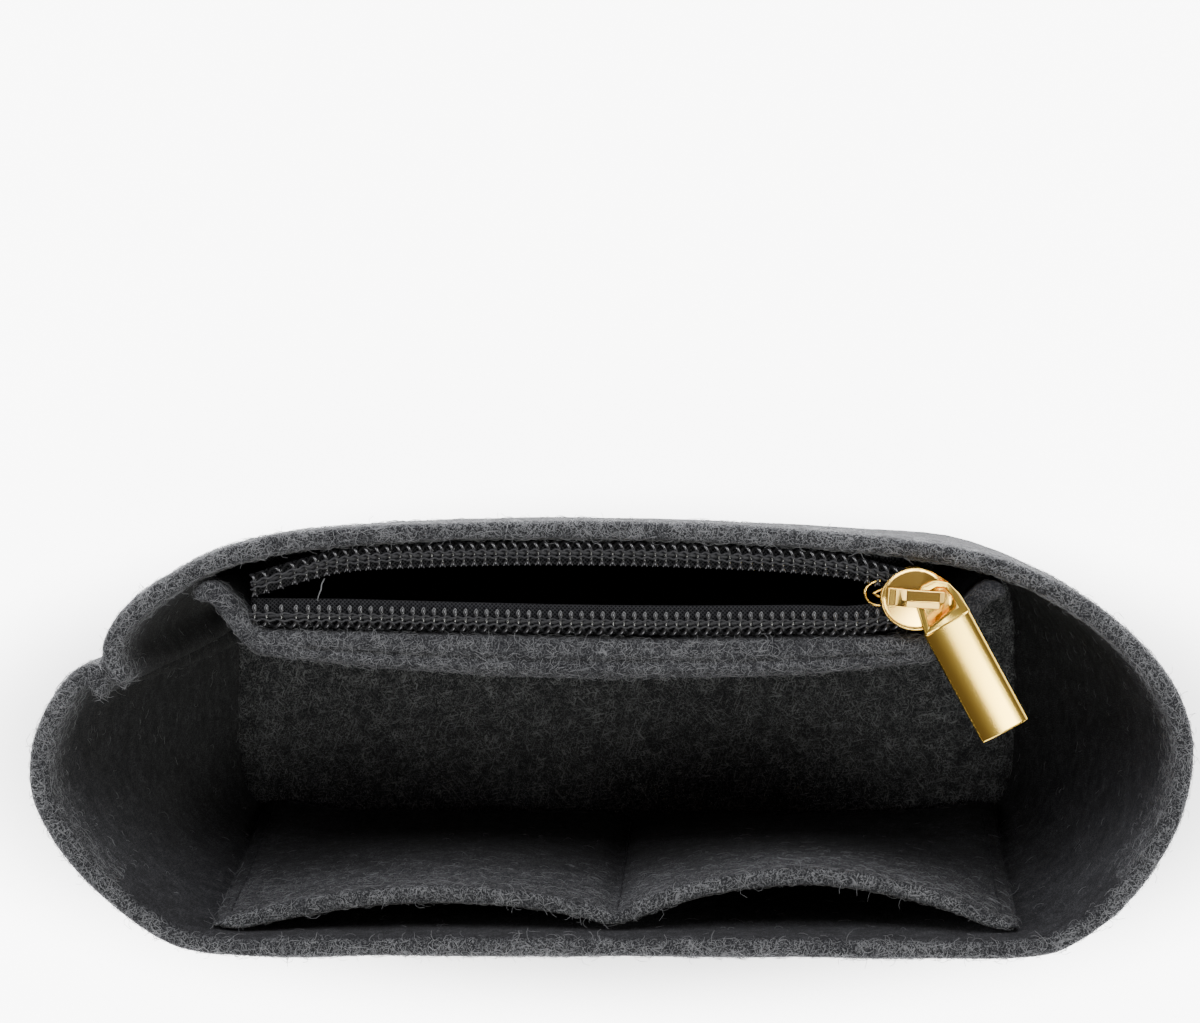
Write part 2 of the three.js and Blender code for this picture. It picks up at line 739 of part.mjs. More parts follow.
const slipSeams = { left: -slipLeft + slipMargin / 2, centre: slipSeam, right: slipRight - slipMargin / 2 };
for (const [place, x] of Object.entries(slipSeams)) {
  const heights = [slipFoot + 2 * seamInset, height / 2, slipTop - seamInset];
  seamThread(`slip_${place}_thread`, heights.map((z) => slipSeamPoint(x, z)));
}
const slipWidths = [-slipLeft + slipMargin, slipSeam, slipRight - slipMargin];
seamThread('slip_foot_thread', slipWidths.map((x) => slipSeamPoint(x, slipFoot + seamInset)));

function flangePoint(z, end) {
  const path = offsetPath(pocketPath(z), felt + threadOff);
  const [a, b] = end < 0 ? path : [...path].reverse();
  return new THREE.Vector3((a.x + b.x) / 2, (a.y + b.y) / 2, z);
}

const pocketHeights = [pocketFoot + seamInset, height / 2, pocketTop - hemDepth];
seamThread('pocket_left_thread', pocketHeights.map((z) => flangePoint(z, -1)));
seamThread('pocket_right_thread', pocketHeights.map((z) => flangePoint(z, 1)));

function acrossPanel(z) {
  const face = pocketFront(z, threadOff).slice(flangePoints + 1, -flangePoints - 1);
  return face.filter((point, i) => i % hemStride === 0);
}

seamThread('pocket_foot_thread', acrossPanel(pocketFoot + seamInset));
seamThread('pocket_hem_thread', acrossPanel(pocketTop - hemDepth / 2));

for (const [name, row] of Object.entries(rows)) {
  const z = tapeTop - tapeTurnDown / 2;
  const points = besideRow(row, 0, 0).map(({ x }) => {
    return new THREE.Vector3(x, feltFaceY(row.side, x, z) - row.side * (tape + threadOff), z);
  });
  seamThread(`tape_${name}_thread`, points.filter((point, i) => i % 2 === 0));
}

export default insert;
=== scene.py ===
# %% [markdown]
# # A felt purse organizer insert
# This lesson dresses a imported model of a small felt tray, the kind that keeps loose things in
# order. The tray's felt walls, its pockets and its zip are soft, so each gets a mesh and a finish
# of its own here. The slider and its pull are gold-plated castings. Everything is placed by the
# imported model, in metres, with the open mouth facing up.

# %% The frame, the libraries and the units
import math
import random

import bmesh
import bpy
from mathutils import Matrix, Vector, noise
from mathutils.bvhtree import BVHTree


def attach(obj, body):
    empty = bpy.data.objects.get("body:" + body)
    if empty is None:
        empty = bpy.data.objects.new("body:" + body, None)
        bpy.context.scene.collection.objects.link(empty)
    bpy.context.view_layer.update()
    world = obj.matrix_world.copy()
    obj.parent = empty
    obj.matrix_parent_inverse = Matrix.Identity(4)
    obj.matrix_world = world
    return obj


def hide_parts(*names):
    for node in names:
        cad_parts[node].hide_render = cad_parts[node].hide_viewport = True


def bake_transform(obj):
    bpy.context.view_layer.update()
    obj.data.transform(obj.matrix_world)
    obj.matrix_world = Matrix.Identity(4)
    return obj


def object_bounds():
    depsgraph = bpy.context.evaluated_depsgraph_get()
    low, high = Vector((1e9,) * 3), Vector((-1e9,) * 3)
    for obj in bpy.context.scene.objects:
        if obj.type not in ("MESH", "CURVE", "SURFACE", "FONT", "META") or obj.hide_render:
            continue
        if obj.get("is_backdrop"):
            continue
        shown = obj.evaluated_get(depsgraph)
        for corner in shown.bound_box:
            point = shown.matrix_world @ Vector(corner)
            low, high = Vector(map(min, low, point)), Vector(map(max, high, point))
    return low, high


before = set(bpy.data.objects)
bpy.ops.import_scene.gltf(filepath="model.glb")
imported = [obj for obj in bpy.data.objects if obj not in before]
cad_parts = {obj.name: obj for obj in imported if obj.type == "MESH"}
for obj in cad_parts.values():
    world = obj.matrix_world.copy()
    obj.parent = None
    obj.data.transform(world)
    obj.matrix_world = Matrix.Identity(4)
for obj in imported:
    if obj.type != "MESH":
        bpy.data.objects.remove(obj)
cad_low, cad_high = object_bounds()
MM = 0.001
scene = bpy.context.scene
random.seed(7)
print("frame:", len(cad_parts), "nodes,", [round(v / MM, 1) for v in cad_high - cad_low], "mm")

# %% [markdown]
# ## Camera
# The photograph looks straight down into the tray from well above it, with a long lens, so the
# walls hardly converge. A camera that looks down has no natural upright direction, so its three
# axes are worked out one by one, with the tray's back wall at the top of the picture.

# %% Camera
CAMERA_PLACE = Vector((0.021, 0.0706, 0.785))
CAMERA_AIM = Vector((-0.0014, 0.0321, 0.085))
FOCAL_LENGTH = 150
SENSOR_WIDTH = 36

camera_back = (CAMERA_PLACE - CAMERA_AIM).normalized()
camera_right = Vector((0, 1, 0)).cross(camera_back).normalized()
camera_up = camera_back.cross(camera_right)
camera_data = bpy.data.cameras.new("camera")
camera_data.lens = FOCAL_LENGTH
camera_data.sensor_width = SENSOR_WIDTH
camera = bpy.data.objects.new("camera", camera_data)
scene.collection.objects.link(camera)
camera_turn = Matrix((camera_right, camera_up, camera_back)).transposed().to_4x4()
camera.matrix_world = Matrix.Translation(CAMERA_PLACE) @ camera_turn
scene.camera = camera
print("camera:", round((CAMERA_PLACE - CAMERA_AIM).length / MM), "mm from the tray's rim")

# %% [markdown]
# ## Light
# The tray is photographed in a bright white room, so its shadow is soft and short on every side.
# One softbox hangs high up, to the front right of it, and larger ones stand around it. Polished
# metal shows the shape of its lights: the high one is kept small, so that only the flat top of the
# pull catches it, and the sloping side of the pull mirrors the dim room and goes bronze. Its light
# is a little yellow and the others are a little cool, so that the gold is bright and the felt grey.

# %% Light
COOL = (0.96, 0.97, 1.0)
YELLOWISH = (0.98, 1.0, 0.92)
LIGHTS = {
    "overhead": {"place": (0.19, -0.20, 1.15), "size": 0.28, "watts": 5.8, "tint": YELLOWISH},
    "right": {"place": (1.00, 0.20, 0.42), "size": 0.9, "watts": 3.4, "tint": COOL},
    "left": {"place": (-1.00, 0.35, 0.42), "size": 0.8, "watts": 8.0, "tint": COOL},
    "front": {"place": (0.10, -1.05, 0.45), "size": 0.8, "watts": 8.0, "tint": COOL},
    "back": {"place": (0.05, 0.85, 0.95), "size": 0.7, "watts": 10.5, "tint": COOL},
}
LIGHT_AIM = Vector((0, 0, 0.05))
ROOM_LIGHT = 0.12
ROOM_COLOUR = (1.0, 0.80, 0.72)

for light_name, light in LIGHTS.items():
    light_data = bpy.data.lights.new(light_name, "AREA")
    light_data.shape = "SQUARE"
    light_data.size = light["size"]
    light_data.energy = light["watts"]
    light_data.color = light["tint"]
    lamp = bpy.data.objects.new(light_name, light_data)
    lamp.location = light["place"]
    lamp.rotation_euler = (LIGHT_AIM - lamp.location).to_track_quat("-Z", "Y").to_euler()
    scene.collection.objects.link(lamp)

world = bpy.data.worlds.new("room")
world.use_nodes = True
world.node_tree.nodes["Background"].inputs["Color"].default_value = (*ROOM_COLOUR, 1)
world.node_tree.nodes["Background"].inputs["Strength"].default_value = ROOM_LIGHT
scene.world = world
print(len(LIGHTS), "lights")

# %% [markdown]
# ## Helpers
# Every piece is a bmesh that becomes an object at the origin, with its place in its vertices. Five
# small helpers are enough: one makes the object, one says which body it rides on and which nodes
# it replaces, one applies its modifiers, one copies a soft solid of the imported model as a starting
# shape, and one draws a round thread along points.


# %% Make an object from a bmesh
def piece_from(name, graph, material, smooth=True):
    mesh = bpy.data.meshes.new(name)
    graph.to_mesh(mesh)
    graph.free()
    for polygon in mesh.polygons:
        polygon.use_smooth = smooth
    mesh.materials.append(material)
    piece = bpy.data.objects.new(name, mesh)
    scene.collection.objects.link(piece)
    return piece


# %% Put a piece on its body
def fit(piece, body, slot, *nodes):
    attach(piece, body)
    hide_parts(*nodes)


# %% Apply a piece's modifiers
def settle(piece):
    bpy.context.view_layer.update()
    evaluated = piece.evaluated_get(bpy.context.evaluated_depsgraph_get())
    mesh = bpy.data.meshes.new_from_object(evaluated)
    piece.modifiers.clear()
    piece.data = mesh


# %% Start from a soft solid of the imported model
WELD = 0.01 * MM
FLAT_ENOUGH = math.radians(40)


def soft_start(node):
    """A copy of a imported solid, with its loose triangles joined into four-sided faces."""
    graph = bmesh.new()
    graph.from_mesh(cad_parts[node].data)
    bmesh.ops.remove_doubles(graph, verts=graph.verts, dist=WELD)
    bmesh.ops.join_triangles(
        graph,
        faces=graph.faces,
        angle_face_threshold=FLAT_ENOUGH,
        angle_shape_threshold=FLAT_ENOUGH,
    )
    return graph


# %% Draw threads along lines of points
def threads(name, lines, radius, material, sides=1, radii=None):
    """One piece made of round threads, one for each line of points."""
    curve = bpy.data.curves.new(name, "CURVE")
    curve.dimensions = "3D"
    curve.bevel_depth = radius
    curve.bevel_resolution = sides
    curve.use_fill_caps = True
    for line_index, line in enumerate(lines):
        spline = curve.splines.new("POLY")
        spline.points.add(len(line) - 1)
        for index, point in enumerate(line):
            spline.points[index].co = (*point, 1)
            spline.points[index].radius = radii[line_index][index] if radii else 1
    drawn = bpy.data.objects.new(name, curve)
    scene.collection.objects.link(drawn)
    bpy.context.view_layer.update()
    evaluated = drawn.evaluated_get(bpy.context.evaluated_depsgraph_get())
    mesh = bpy.data.meshes.new_from_object(evaluated)
    bpy.data.objects.remove(drawn)
    mesh.name = name
    mesh.materials.clear()
    mesh.materials.append(material)
    for polygon in mesh.polygons:
        polygon.use_smooth = True
    piece = bpy.data.objects.new(name, mesh)
    scene.collection.objects.link(piece)
    return piece


# %% [markdown]
# ## Shader groups
# Felt is pressed from short curly fibres that lie in every direction. A noise that is squeezed
# along one direction gives short streaks in that direction, so the group below lays several
# squeezed noises over each other, each turned another way, and keeps only their brightest parts.
# It puts out a mask of the fibres and a height for the bump.

# %% Node helpers
def new_group(name, inputs, outputs):
    group = bpy.data.node_groups.new(name, "ShaderNodeTree")
    for socket_name, socket_type, value in inputs:
        socket = group.interface.new_socket(socket_name, in_out="INPUT", socket_type=socket_type)
        if value is not None:
            socket.default_value = value
    for socket_name, socket_type in outputs:
        group.interface.new_socket(socket_name, in_out="OUTPUT", socket_type=socket_type)
    return group, group.nodes.new("NodeGroupInput"), group.nodes.new("NodeGroupOutput")


def math_node(tree, operation, first, second=None):
    node = tree.nodes.new("ShaderNodeMath")
    node.operation = operation
    for index, value in enumerate((first, second)):
        if isinstance(value, (int, float)):
            node.inputs[index].default_value = value
        elif value is not None:
            tree.links.new(value, node.inputs[index])
    return node.outputs[0]


def mapped(tree, vector, stretch, turn=(0, 0, 0), place=(0, 0, 0)):
    """The vector seen from a place, turned and stretched, so that a pattern on it is stretched."""
    node = tree.nodes.new("ShaderNodeMapping")
    node.vector_type = "TEXTURE"
    node.inputs["Location"].default_value = place
    node.inputs["Rotation"].default_value = turn
    node.inputs["Scale"].default_value = stretch
    tree.links.new(vector, node.inputs["Vector"])
    return node.outputs["Vector"]


def noise_node(tree, vector, scale, detail=2, roughness=0.5):
    node = tree.nodes.new("ShaderNodeTexNoise")
    tree.links.new(vector, node.inputs["Vector"])
    if isinstance(scale, (int, float)):
        node.inputs["Scale"].default_value = scale
    else:
        tree.links.new(scale, node.inputs["Scale"])
    node.inputs["Detail"].default_value = detail
    node.inputs["Roughness"].default_value = roughness
    return node.outputs["Fac"]


def ramp(tree, value, low=0, high=1, to_low=0, to_high=1):
    """The value's range from low to high, carried over to the range from to_low to to_high."""
    node = tree.nodes.new("ShaderNodeMapRange")
    tree.links.new(value, node.inputs["Value"])
    ends = {"From Min": low, "From Max": high, "To Min": to_low, "To Max": to_high}
    for socket_name, end in ends.items():
        node.inputs[socket_name].default_value = end
    return node.outputs["Result"]


# %% Felt fibres
FIBRE_TURNS = [
    (0, 0, 0.2),
    (0, 0, 1.25),
    (0, 0, -0.85),
    (0, 0.8, 0.1),
    (0, -0.8, -0.2),
    (0, 1.5, 0.3),
    (0, 0.8, 1.5),
    (0, -0.75, 1.6),
]
FIBRE_STRETCH = (11, 1, 1)
FIBRE_SCALE = 5000.0
FIBRE_LOW = 0.645
FIBRE_HIGH = 0.80
CURL_SCALE = 900
FIBRE_CURL = 0.00035
MOTTLE_SCALE = 0.07
MOTTLE_LOW = 0.35
MOTTLE_HIGH = 0.65
GRAIN_SCALE = 1.4
GRAIN_HEIGHT = 0.8


def felt_group():
    group, given, out = new_group(
        "felt_fibres",
        [("Vector", "NodeSocketVector", None), ("Scale", "NodeSocketFloat", FIBRE_SCALE)],
        [(mask, "NodeSocketFloat") for mask in ("Fibres", "Mottle", "Height")],
    )
    vector, scale = given.outputs["Vector"], given.outputs["Scale"]
    curl = noise_node(group, vector, CURL_SCALE, 0).node.outputs["Color"]
    wavy = group.nodes.new("ShaderNodeVectorMath")
    wavy.operation = "MULTIPLY_ADD"
    group.links.new(curl, wavy.inputs[0])
    wavy.inputs[1].default_value = (FIBRE_CURL, FIBRE_CURL, FIBRE_CURL)
    group.links.new(vector, wavy.inputs[2])
    fibres = None
    for turn in FIBRE_TURNS:
        streak = noise_node(group, mapped(group, wavy.outputs[0], FIBRE_STRETCH, turn), scale, 0)
        streak = ramp(group, streak, FIBRE_LOW, FIBRE_HIGH)
        fibres = streak if fibres is None else math_node(group, "MAXIMUM", fibres, streak)
    mottle = noise_node(group, vector, math_node(group, "MULTIPLY", scale, MOTTLE_SCALE), 3, 0.6)
    grain = noise_node(group, vector, math_node(group, "MULTIPLY", scale, GRAIN_SCALE), 1)
    height = math_node(group, "ADD", fibres, math_node(group, "MULTIPLY", grain, GRAIN_HEIGHT))
    group.links.new(fibres, out.inputs["Fibres"])
    group.links.new(ramp(group, mottle, MOTTLE_LOW, MOTTLE_HIGH), out.inputs["Mottle"])
    group.links.new(height, out.inputs["Height"])
    return group


FELT_FIBRES = felt_group()
print(FELT_FIBRES.name, len(FELT_FIBRES.nodes), "nodes")

# %% [markdown]
# ## Weave
# The zip's tape is a fine twill. Cloth as fine as that is too much for a mesh, so its threads are
# two sets of slanting waves that cross, and the higher of the two is the thread on top.

# %% Weave
WEAVE_THREADS = 11000.0


def weave_group():
    group, given, out = new_group(
        "weave",
        [("Vector", "NodeSocketVector", None), ("Threads", "NodeSocketFloat", WEAVE_THREADS)],
        [("Raised", "NodeSocketFloat")],
    )
    part = group.nodes.new("ShaderNodeSeparateXYZ")
    group.links.new(given.outputs["Vector"], part.inputs[0])
    width = math_node(group, "SUBTRACT", part.outputs["Y"], part.outputs["Z"])
    fineness = given.outputs["Threads"]
    lengthwise = math_node(group, "MULTIPLY", part.outputs["X"], fineness)
    crosswise = math_node(group, "MULTIPLY", width, fineness)
    slope = math_node(group, "SINE", math_node(group, "ADD", lengthwise, crosswise))
    counter = math_node(group, "SINE", math_node(group, "SUBTRACT", lengthwise, crosswise))
    group.links.new(math_node(group, "MAXIMUM", slope, counter), out.inputs["Raised"])
    return group


WEAVE = weave_group()
print(WEAVE.name, len(WEAVE.nodes), "nodes")

# %% [markdown]
# ## Finishes
# The felt is charcoal with lighter fibres and a faint sheen, and never shiny. The zip is black:
# its tape is matt and woven, and its nylon coils are glossy enough to draw a thin line of light
# along each wire. The slider and its pull are plated in gold, dulled just enough to blur what it
# mirrors. Four small helpers start a material, place a group in it, mix two colours and add relief.


# %% Start a material
def new_material(name, colour, roughness, metallic=0.0):
    material = bpy.data.materials.new(name)
    material.use_nodes = True
    shader = material.node_tree.nodes["Principled BSDF"]
    shader.inputs["Base Color"].default_value = (*colour, 1)
    shader.inputs["Roughness"].default_value = roughness
    shader.inputs["Metallic"].default_value = metallic
    return material, material.node_tree, shader


def object_vector(tree):
    return tree.nodes.new("ShaderNodeTexCoord").outputs["Object"]


def group_outputs(tree, group):
    """A shader group in a material, which reads the piece's own coordinates."""
    node = tree.nodes.new("ShaderNodeGroup")
    node.node_tree = group
    tree.links.new(object_vector(tree), node.inputs["Vector"])
    return node.outputs


def mixed_colour(tree, factor, first, second):
    node = tree.nodes.new("ShaderNodeMix")
    node.data_type = "RGBA"
    tree.links.new(factor, node.inputs["Factor"])
    for socket, colour in ((node.inputs["A"], first), (node.inputs["B"], second)):
        if isinstance(colour, tuple):
            socket.default_value = (*colour, 1)
        else:
            tree.links.new(colour, socket)
    return node.outputs["Result"]


def bumped(tree, shader, height, strength, distance):
    node = tree.nodes.new("ShaderNodeBump")
    node.inputs["Strength"].default_value = strength
    node.inputs["Distance"].default_value = distance
    tree.links.new(height, node.inputs["Height"])
    tree.links.new(node.outputs["Normal"], shader.inputs["Normal"])


# %% [markdown]
# ## Felt
# The ground is dark and mottled, with a net of lighter fibres over it. A value kept on each point of
# the mesh, in an attribute that this material reads, makes the ground lighter and the fibres
# stronger where it is high. It is partly lifted fibres at raw edges and partly painted light and
# shade.

# %% Felt
FELT_DARK = (0.0098, 0.0100, 0.0128)
FELT_MID = (0.0216, 0.0219, 0.0262)
# The ground colour where the mesh's value is high: wear at raw edges, and painted light.
FELT_RIM = (0.0225, 0.023, 0.0252)
FELT_FIBRE = (0.185, 0.188, 0.198)
FLAT_NAP = 0.10
PATCH_DULL = 0.5
PATCH_BRIGHT = 1.15
FELT_BUMP = 0.12 * MM


def felt_material(name):
    material, tree, shader = new_material(name, FELT_MID, 0.95)
    shader.inputs["Sheen Weight"].default_value = 0.05
    shader.inputs["Sheen Roughness"].default_value = 0.5
    shader.inputs["Specular IOR Level"].default_value = 0.15
    fibres = group_outputs(tree, FELT_FIBRES)
    nap_and_light = tree.nodes.new("ShaderNodeAttribute")
    nap_and_light.attribute_name = "nap_and_light"
    # Where the mesh's value is high, the fibres are stronger and the ground lighter: lifted fibres,
    # and painted light and shade.
    raised = ramp(tree, nap_and_light.outputs["Fac"], to_low=FLAT_NAP)
    patches = ramp(tree, fibres["Mottle"], to_low=PATCH_DULL, to_high=PATCH_BRIGHT)
    worn = math_node(tree, "MULTIPLY", nap_and_light.outputs["Fac"], patches)
    flat_ground = mixed_colour(tree, fibres["Mottle"], FELT_DARK, FELT_MID)
    ground = mixed_colour(tree, worn, flat_ground, FELT_RIM)
    strength = math_node(tree, "MULTIPLY", raised, patches)
    lit = math_node(tree, "MULTIPLY", fibres["Fibres"], strength)
    tree.links.new(mixed_colour(tree, lit, ground, FELT_FIBRE), shader.inputs["Base Color"])
    bumped(tree, shader, fibres["Height"], 0.5, FELT_BUMP)
    return material


FELT = felt_material("felt")
print(FELT.name, len(FELT.node_tree.nodes), "nodes")


# %% [markdown]
# ## Threads, nylon and tape
# A thread is many fine fibres twisted together, and up close its colour breaks into light and
# dark, which a fine noise does here. Nylon wire is smooth and has a strong highlight, so its
# specular level is raised. The tape takes both its colour and its relief from the weave.

# %% Loose fibres, thread and nylon
FUZZ_DARK, FUZZ_LIGHT = (0.05, 0.051, 0.054), (0.36, 0.365, 0.38)
SEWING_DARK, SEWING_LIGHT = (0.012, 0.012, 0.014), (0.05, 0.05, 0.055)
ZIP_DARK, ZIP_LIGHT = (0.006, 0.006, 0.008), (0.045, 0.045, 0.049)
NYLON_DARK, NYLON_LIGHT = (0.012, 0.012, 0.013), (0.034, 0.034, 0.037)
FUZZ_GRAIN = 420
THREAD_GRAIN = 4000
NYLON_GRAIN = 900
GRAIN_BUMP = 0.05 * MM


def grained_material(name, dark, light, roughness, scale, bump):
    material, tree, shader = new_material(name, light, roughness)
    grain = noise_node(tree, object_vector(tree), scale, 3, 0.6)
    tree.links.new(mixed_colour(tree, grain, dark, light), shader.inputs["Base Color"])
    bumped(tree, shader, grain, bump, GRAIN_BUMP)
    return material


FUZZ = grained_material("felt_fuzz", FUZZ_DARK, FUZZ_LIGHT, 0.9, FUZZ_GRAIN, 0.1)
SEWING_THREAD = grained_material("sewing_thread", SEWING_DARK, SEWING_LIGHT, 0.7, THREAD_GRAIN, 0.5)
ZIP_THREAD = grained_material("zip_thread", ZIP_DARK, ZIP_LIGHT, 0.55, THREAD_GRAIN, 0.5)
NYLON = grained_material("zip_nylon", NYLON_DARK, NYLON_LIGHT, 0.14, NYLON_GRAIN, 0.1)
NYLON.node_tree.nodes["Principled BSDF"].inputs["Specular IOR Level"].default_value = 1.0

# %% Tape
TAPE_DARK, TAPE_LIGHT = (0.003, 0.003, 0.004), (0.045, 0.045, 0.049)
TAPE_BUMP = 0.1 * MM


def tape_material():
    material, tree, shader = new_material("zip_tape", (0.02, 0.02, 0.022), 0.85)
    shader.inputs["Specular IOR Level"].default_value = 0.1
    raised = ramp(tree, group_outputs(tree, WEAVE)["Raised"], 0.1, 1)
    tree.links.new(mixed_colour(tree, raised, TAPE_DARK, TAPE_LIGHT), shader.inputs["Base Color"])
    bumped(tree, shader, raised, 0.8, TAPE_BUMP)
    return material


TAPE = tape_material()
print(FUZZ.name, SEWING_THREAD.name, ZIP_THREAD.name, NYLON.name, TAPE.name)

# %% [markdown]
# ## Gold plate
# A metal's base colour is the colour of what it mirrors. Handled plate isn't even, so a broad noise
# drifts between a bright and a worn gold, and a fine one varies the roughness by a hair. The pull's
# gold is a touch yellower than the slider's.

# %% Gold plate
GOLD_ROUGHNESS = 0.20
GOLD_CLOUD = 260
GOLD_GRAIN = 5000


def gold_material(name, colour, worn, spread):
    material, tree, shader = new_material(name, colour, GOLD_ROUGHNESS, 1.0)
    cloud = noise_node(tree, object_vector(tree), GOLD_CLOUD, 3, 0.55)
    tree.links.new(mixed_colour(tree, cloud, worn, colour), shader.inputs["Base Color"])
    fine = noise_node(tree, object_vector(tree), GOLD_GRAIN)
    smoothest, roughest = GOLD_ROUGHNESS - spread, GOLD_ROUGHNESS + spread
    rough = ramp(tree, fine, to_low=smoothest, to_high=roughest)
    tree.links.new(rough, shader.inputs["Roughness"])
    return material


SLIDER_GOLD = gold_material("slider_gold", (1.0, 0.68, 0.17), (0.94, 0.56, 0.12), 0.01)
PULL_GOLD = gold_material("pull_gold", (1.0, 0.70, 0.15), (0.96, 0.62, 0.12), 0.006)
print(SLIDER_GOLD.name, PULL_GOLD.name)

# %% [markdown]
# ## Floor
# The floor is a plain white sheet of paper. It glows evenly, as a white table does under lights that
# reach far past the tray. Near the tray the glow is dimmed in an oval, a painted soft shadow round
# its foot.

# %% Floor
FLOOR_SIZE = 4
FLOOR_GREY = (0.90, 0.90, 0.90)
FLOOR_WHITE = (0.92, 0.92, 0.92)
FLOOR_GLOW = 8.0
SHADE_CENTRE = (0, -0.012, 0)
SHADE_HALF = (0.088, 0.031, 1)
SHADE_FROM = 0.95
SHADE_REACH = 1.45
SHADE_GLOW = 2.0

floor_graph = bmesh.new()
bmesh.ops.create_grid(floor_graph, x_segments=1, y_segments=1, size=FLOOR_SIZE / 2)
floor_material, floor_tree, floor_shader = new_material("floor", FLOOR_GREY, 0.9)
floor_vector = object_vector(floor_tree)
floor_cloud = noise_node(floor_tree, floor_vector, 3)
floor_colour = mixed_colour(floor_tree, floor_cloud, FLOOR_GREY, FLOOR_WHITE)
floor_tree.links.new(floor_colour, floor_shader.inputs["Base Color"])
floor_shader.inputs["Emission Color"].default_value = (1, 1, 1, 1)
# Painted shadow: the glow is dimmed in an oval round the tray's foot.
from_tray = floor_tree.nodes.new("ShaderNodeVectorMath")
from_tray.operation = "DISTANCE"
tray_vector = mapped(floor_tree, floor_vector, SHADE_HALF, place=SHADE_CENTRE)
floor_tree.links.new(tray_vector, from_tray.inputs[0])
away = from_tray.outputs["Value"]
floor_glow_and_shadow = ramp(floor_tree, away, SHADE_FROM, SHADE_REACH, SHADE_GLOW, FLOOR_GLOW)
floor_glow_and_shadow.node.interpolation_type = "SMOOTHSTEP"
floor_tree.links.new(floor_glow_and_shadow, floor_shader.inputs["Emission Strength"])
floor = piece_from("floor", floor_graph, floor_material)
floor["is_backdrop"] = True
print("floor:", FLOOR_SIZE, "m wide")

# %% [markdown]
# ## Felt pieces
# The real tray is cut from one thickness of felt: a long strip for the wall, an oblong base, a
# panel for the slip pockets and a panel for the zipped pocket. Felt has no weave to fray, so its
# edges are left raw, and they are soft and slightly round. Each piece starts as a copy of the
# imported solid. Cuts are made just inside its edges, so that the subdivision rounds only the edge.
# Then the surface is made a little uneven, as pressed felt is. A value is kept on each point for how
# light the felt is: high at the raw edges, where handling lifts light fibres, and fading with depth
# below them, which is painted light near the top and painted shade further down. Inside the slip
# pockets and at the right end of the zipped pocket's hem it is lowered, as painted shade, and over
# the whole face of the slip panel it is kept high, as painted light. Inner faces keep a little of
# it, outer faces none.


# %% Cut a piece at a level
def cut_level(graph, height, keep_below=False):
    """Cuts the faces at a height. To keep the part below, the rest goes and the cut is closed."""
    bmesh.ops.bisect_plane(
        graph,
        geom=graph.verts[:] + graph.edges[:] + graph.faces[:],
        plane_co=(0, 0, height),
        plane_no=(0, 0, 1),
        clear_outer=keep_below,
    )
    if keep_below:
        bmesh.ops.holes_fill(graph, edges=[edge for edge in graph.edges if edge.is_boundary])


def smooth_step(value):
    value = min(max(value, 0.0), 1.0)
    return value * value * (3 - 2 * value)


def along(table, x):
    """The value at x of a table of (x, value) pairs in order."""
    if x <= table[0][0]:
        return table[0][1]
    for (x0, v0), (x1, v1) in zip(table, table[1:]):
        if x <= x1:
            return v0 + (v1 - v0) * (x - x0) / (x1 - x0)
    return table[-1][1]


# %% Find a piece's top line
BIN = 3 * MM
RIM = 85 * MM
POCKET_TOP = 84 * MM
LEVEL_TOPS = {"wall_band": RIM, "zip_pocket_panel": POCKET_TOP}


def top_line(node):
    """A piece's height along its length: level, or read from the solid for a curved edge."""
    if node in LEVEL_TOPS:
        return [(0, LEVEL_TOPS[node])]
    tops = {}
    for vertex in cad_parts[node].data.vertices:
        place = round(vertex.co.x / BIN)
        for near in (place - 1, place, place + 1):
            tops[near] = max(tops.get(near, 0), vertex.co.z)
    return [(place * BIN, tops[place]) for place in sorted(tops)]


# %% Finish a felt surface
WAVE_SIZE = 11 * MM
WAVE_DEPTH = 0.22 * MM
DIMPLE_SIZE = 2.4 * MM
DIMPLE_DEPTH = 0.09 * MM
# The slip panel's value fades over its whole height: painted light on its face.
NAP_AND_LIGHT_DEPTHS = {"slip_pocket_panel": 62 * MM}
NAP_AND_LIGHT_DEPTH = 24 * MM
# Inside the slip pockets the wall's value fades right under its top edge: painted shade.
POCKET_SHADE_DEPTH = 2 * MM
POCKET_BACK = -20 * MM
FACES_BACK = 0.2
OUTWARD_LENGTH = 0.006
OUTWARD_WIDTH = 0.0012
OUTWARD_TURN = 4
# Inner faces keep some of the lighter colour and fibres, outer faces none.
OUTSIDE_NAP = 0.0
INSIDE_NAP = 0.28
HEM_NAP = 0.75
# The zipped pocket's hem is lowered towards its right end: painted shade.
RIGHT_END_SHADE = 0.4
RIGHT_SHADE_FROM = 46 * MM
RIGHT_SHADE_LENGTH = 4 * MM


def nap_and_light_at(node, tops, place, normal):
    """How near a point is to the top edge, from 0 to 1, and its lightness: lifted fibres and painted
    light.
    """
    in_pocket_shade = node == "wall_band" and place.y < POCKET_BACK and normal.y > FACES_BACK
    reach = POCKET_SHADE_DEPTH if in_pocket_shade else NAP_AND_LIGHT_DEPTHS.get(node, NAP_AND_LIGHT_DEPTH)
    # Lighter near the top edge, darker further down: lifted fibres at the edge, and painted light
    # and shade below it.
    depth = along(tops, place.x) - place.z
    edge = smooth_step(1 - depth / reach)
    if node == "zip_pocket_panel":
        edge *= HEM_NAP - RIGHT_END_SHADE * smooth_step((place.x - RIGHT_SHADE_FROM) / RIGHT_SHADE_LENGTH)
    outward = normal.x * place.x / OUTWARD_LENGTH + normal.y * place.y / OUTWARD_WIDTH
    outside = smooth_step(outward * OUTWARD_TURN)
    return edge, max(edge, INSIDE_NAP + (OUTSIDE_NAP - INSIDE_NAP) * outside)


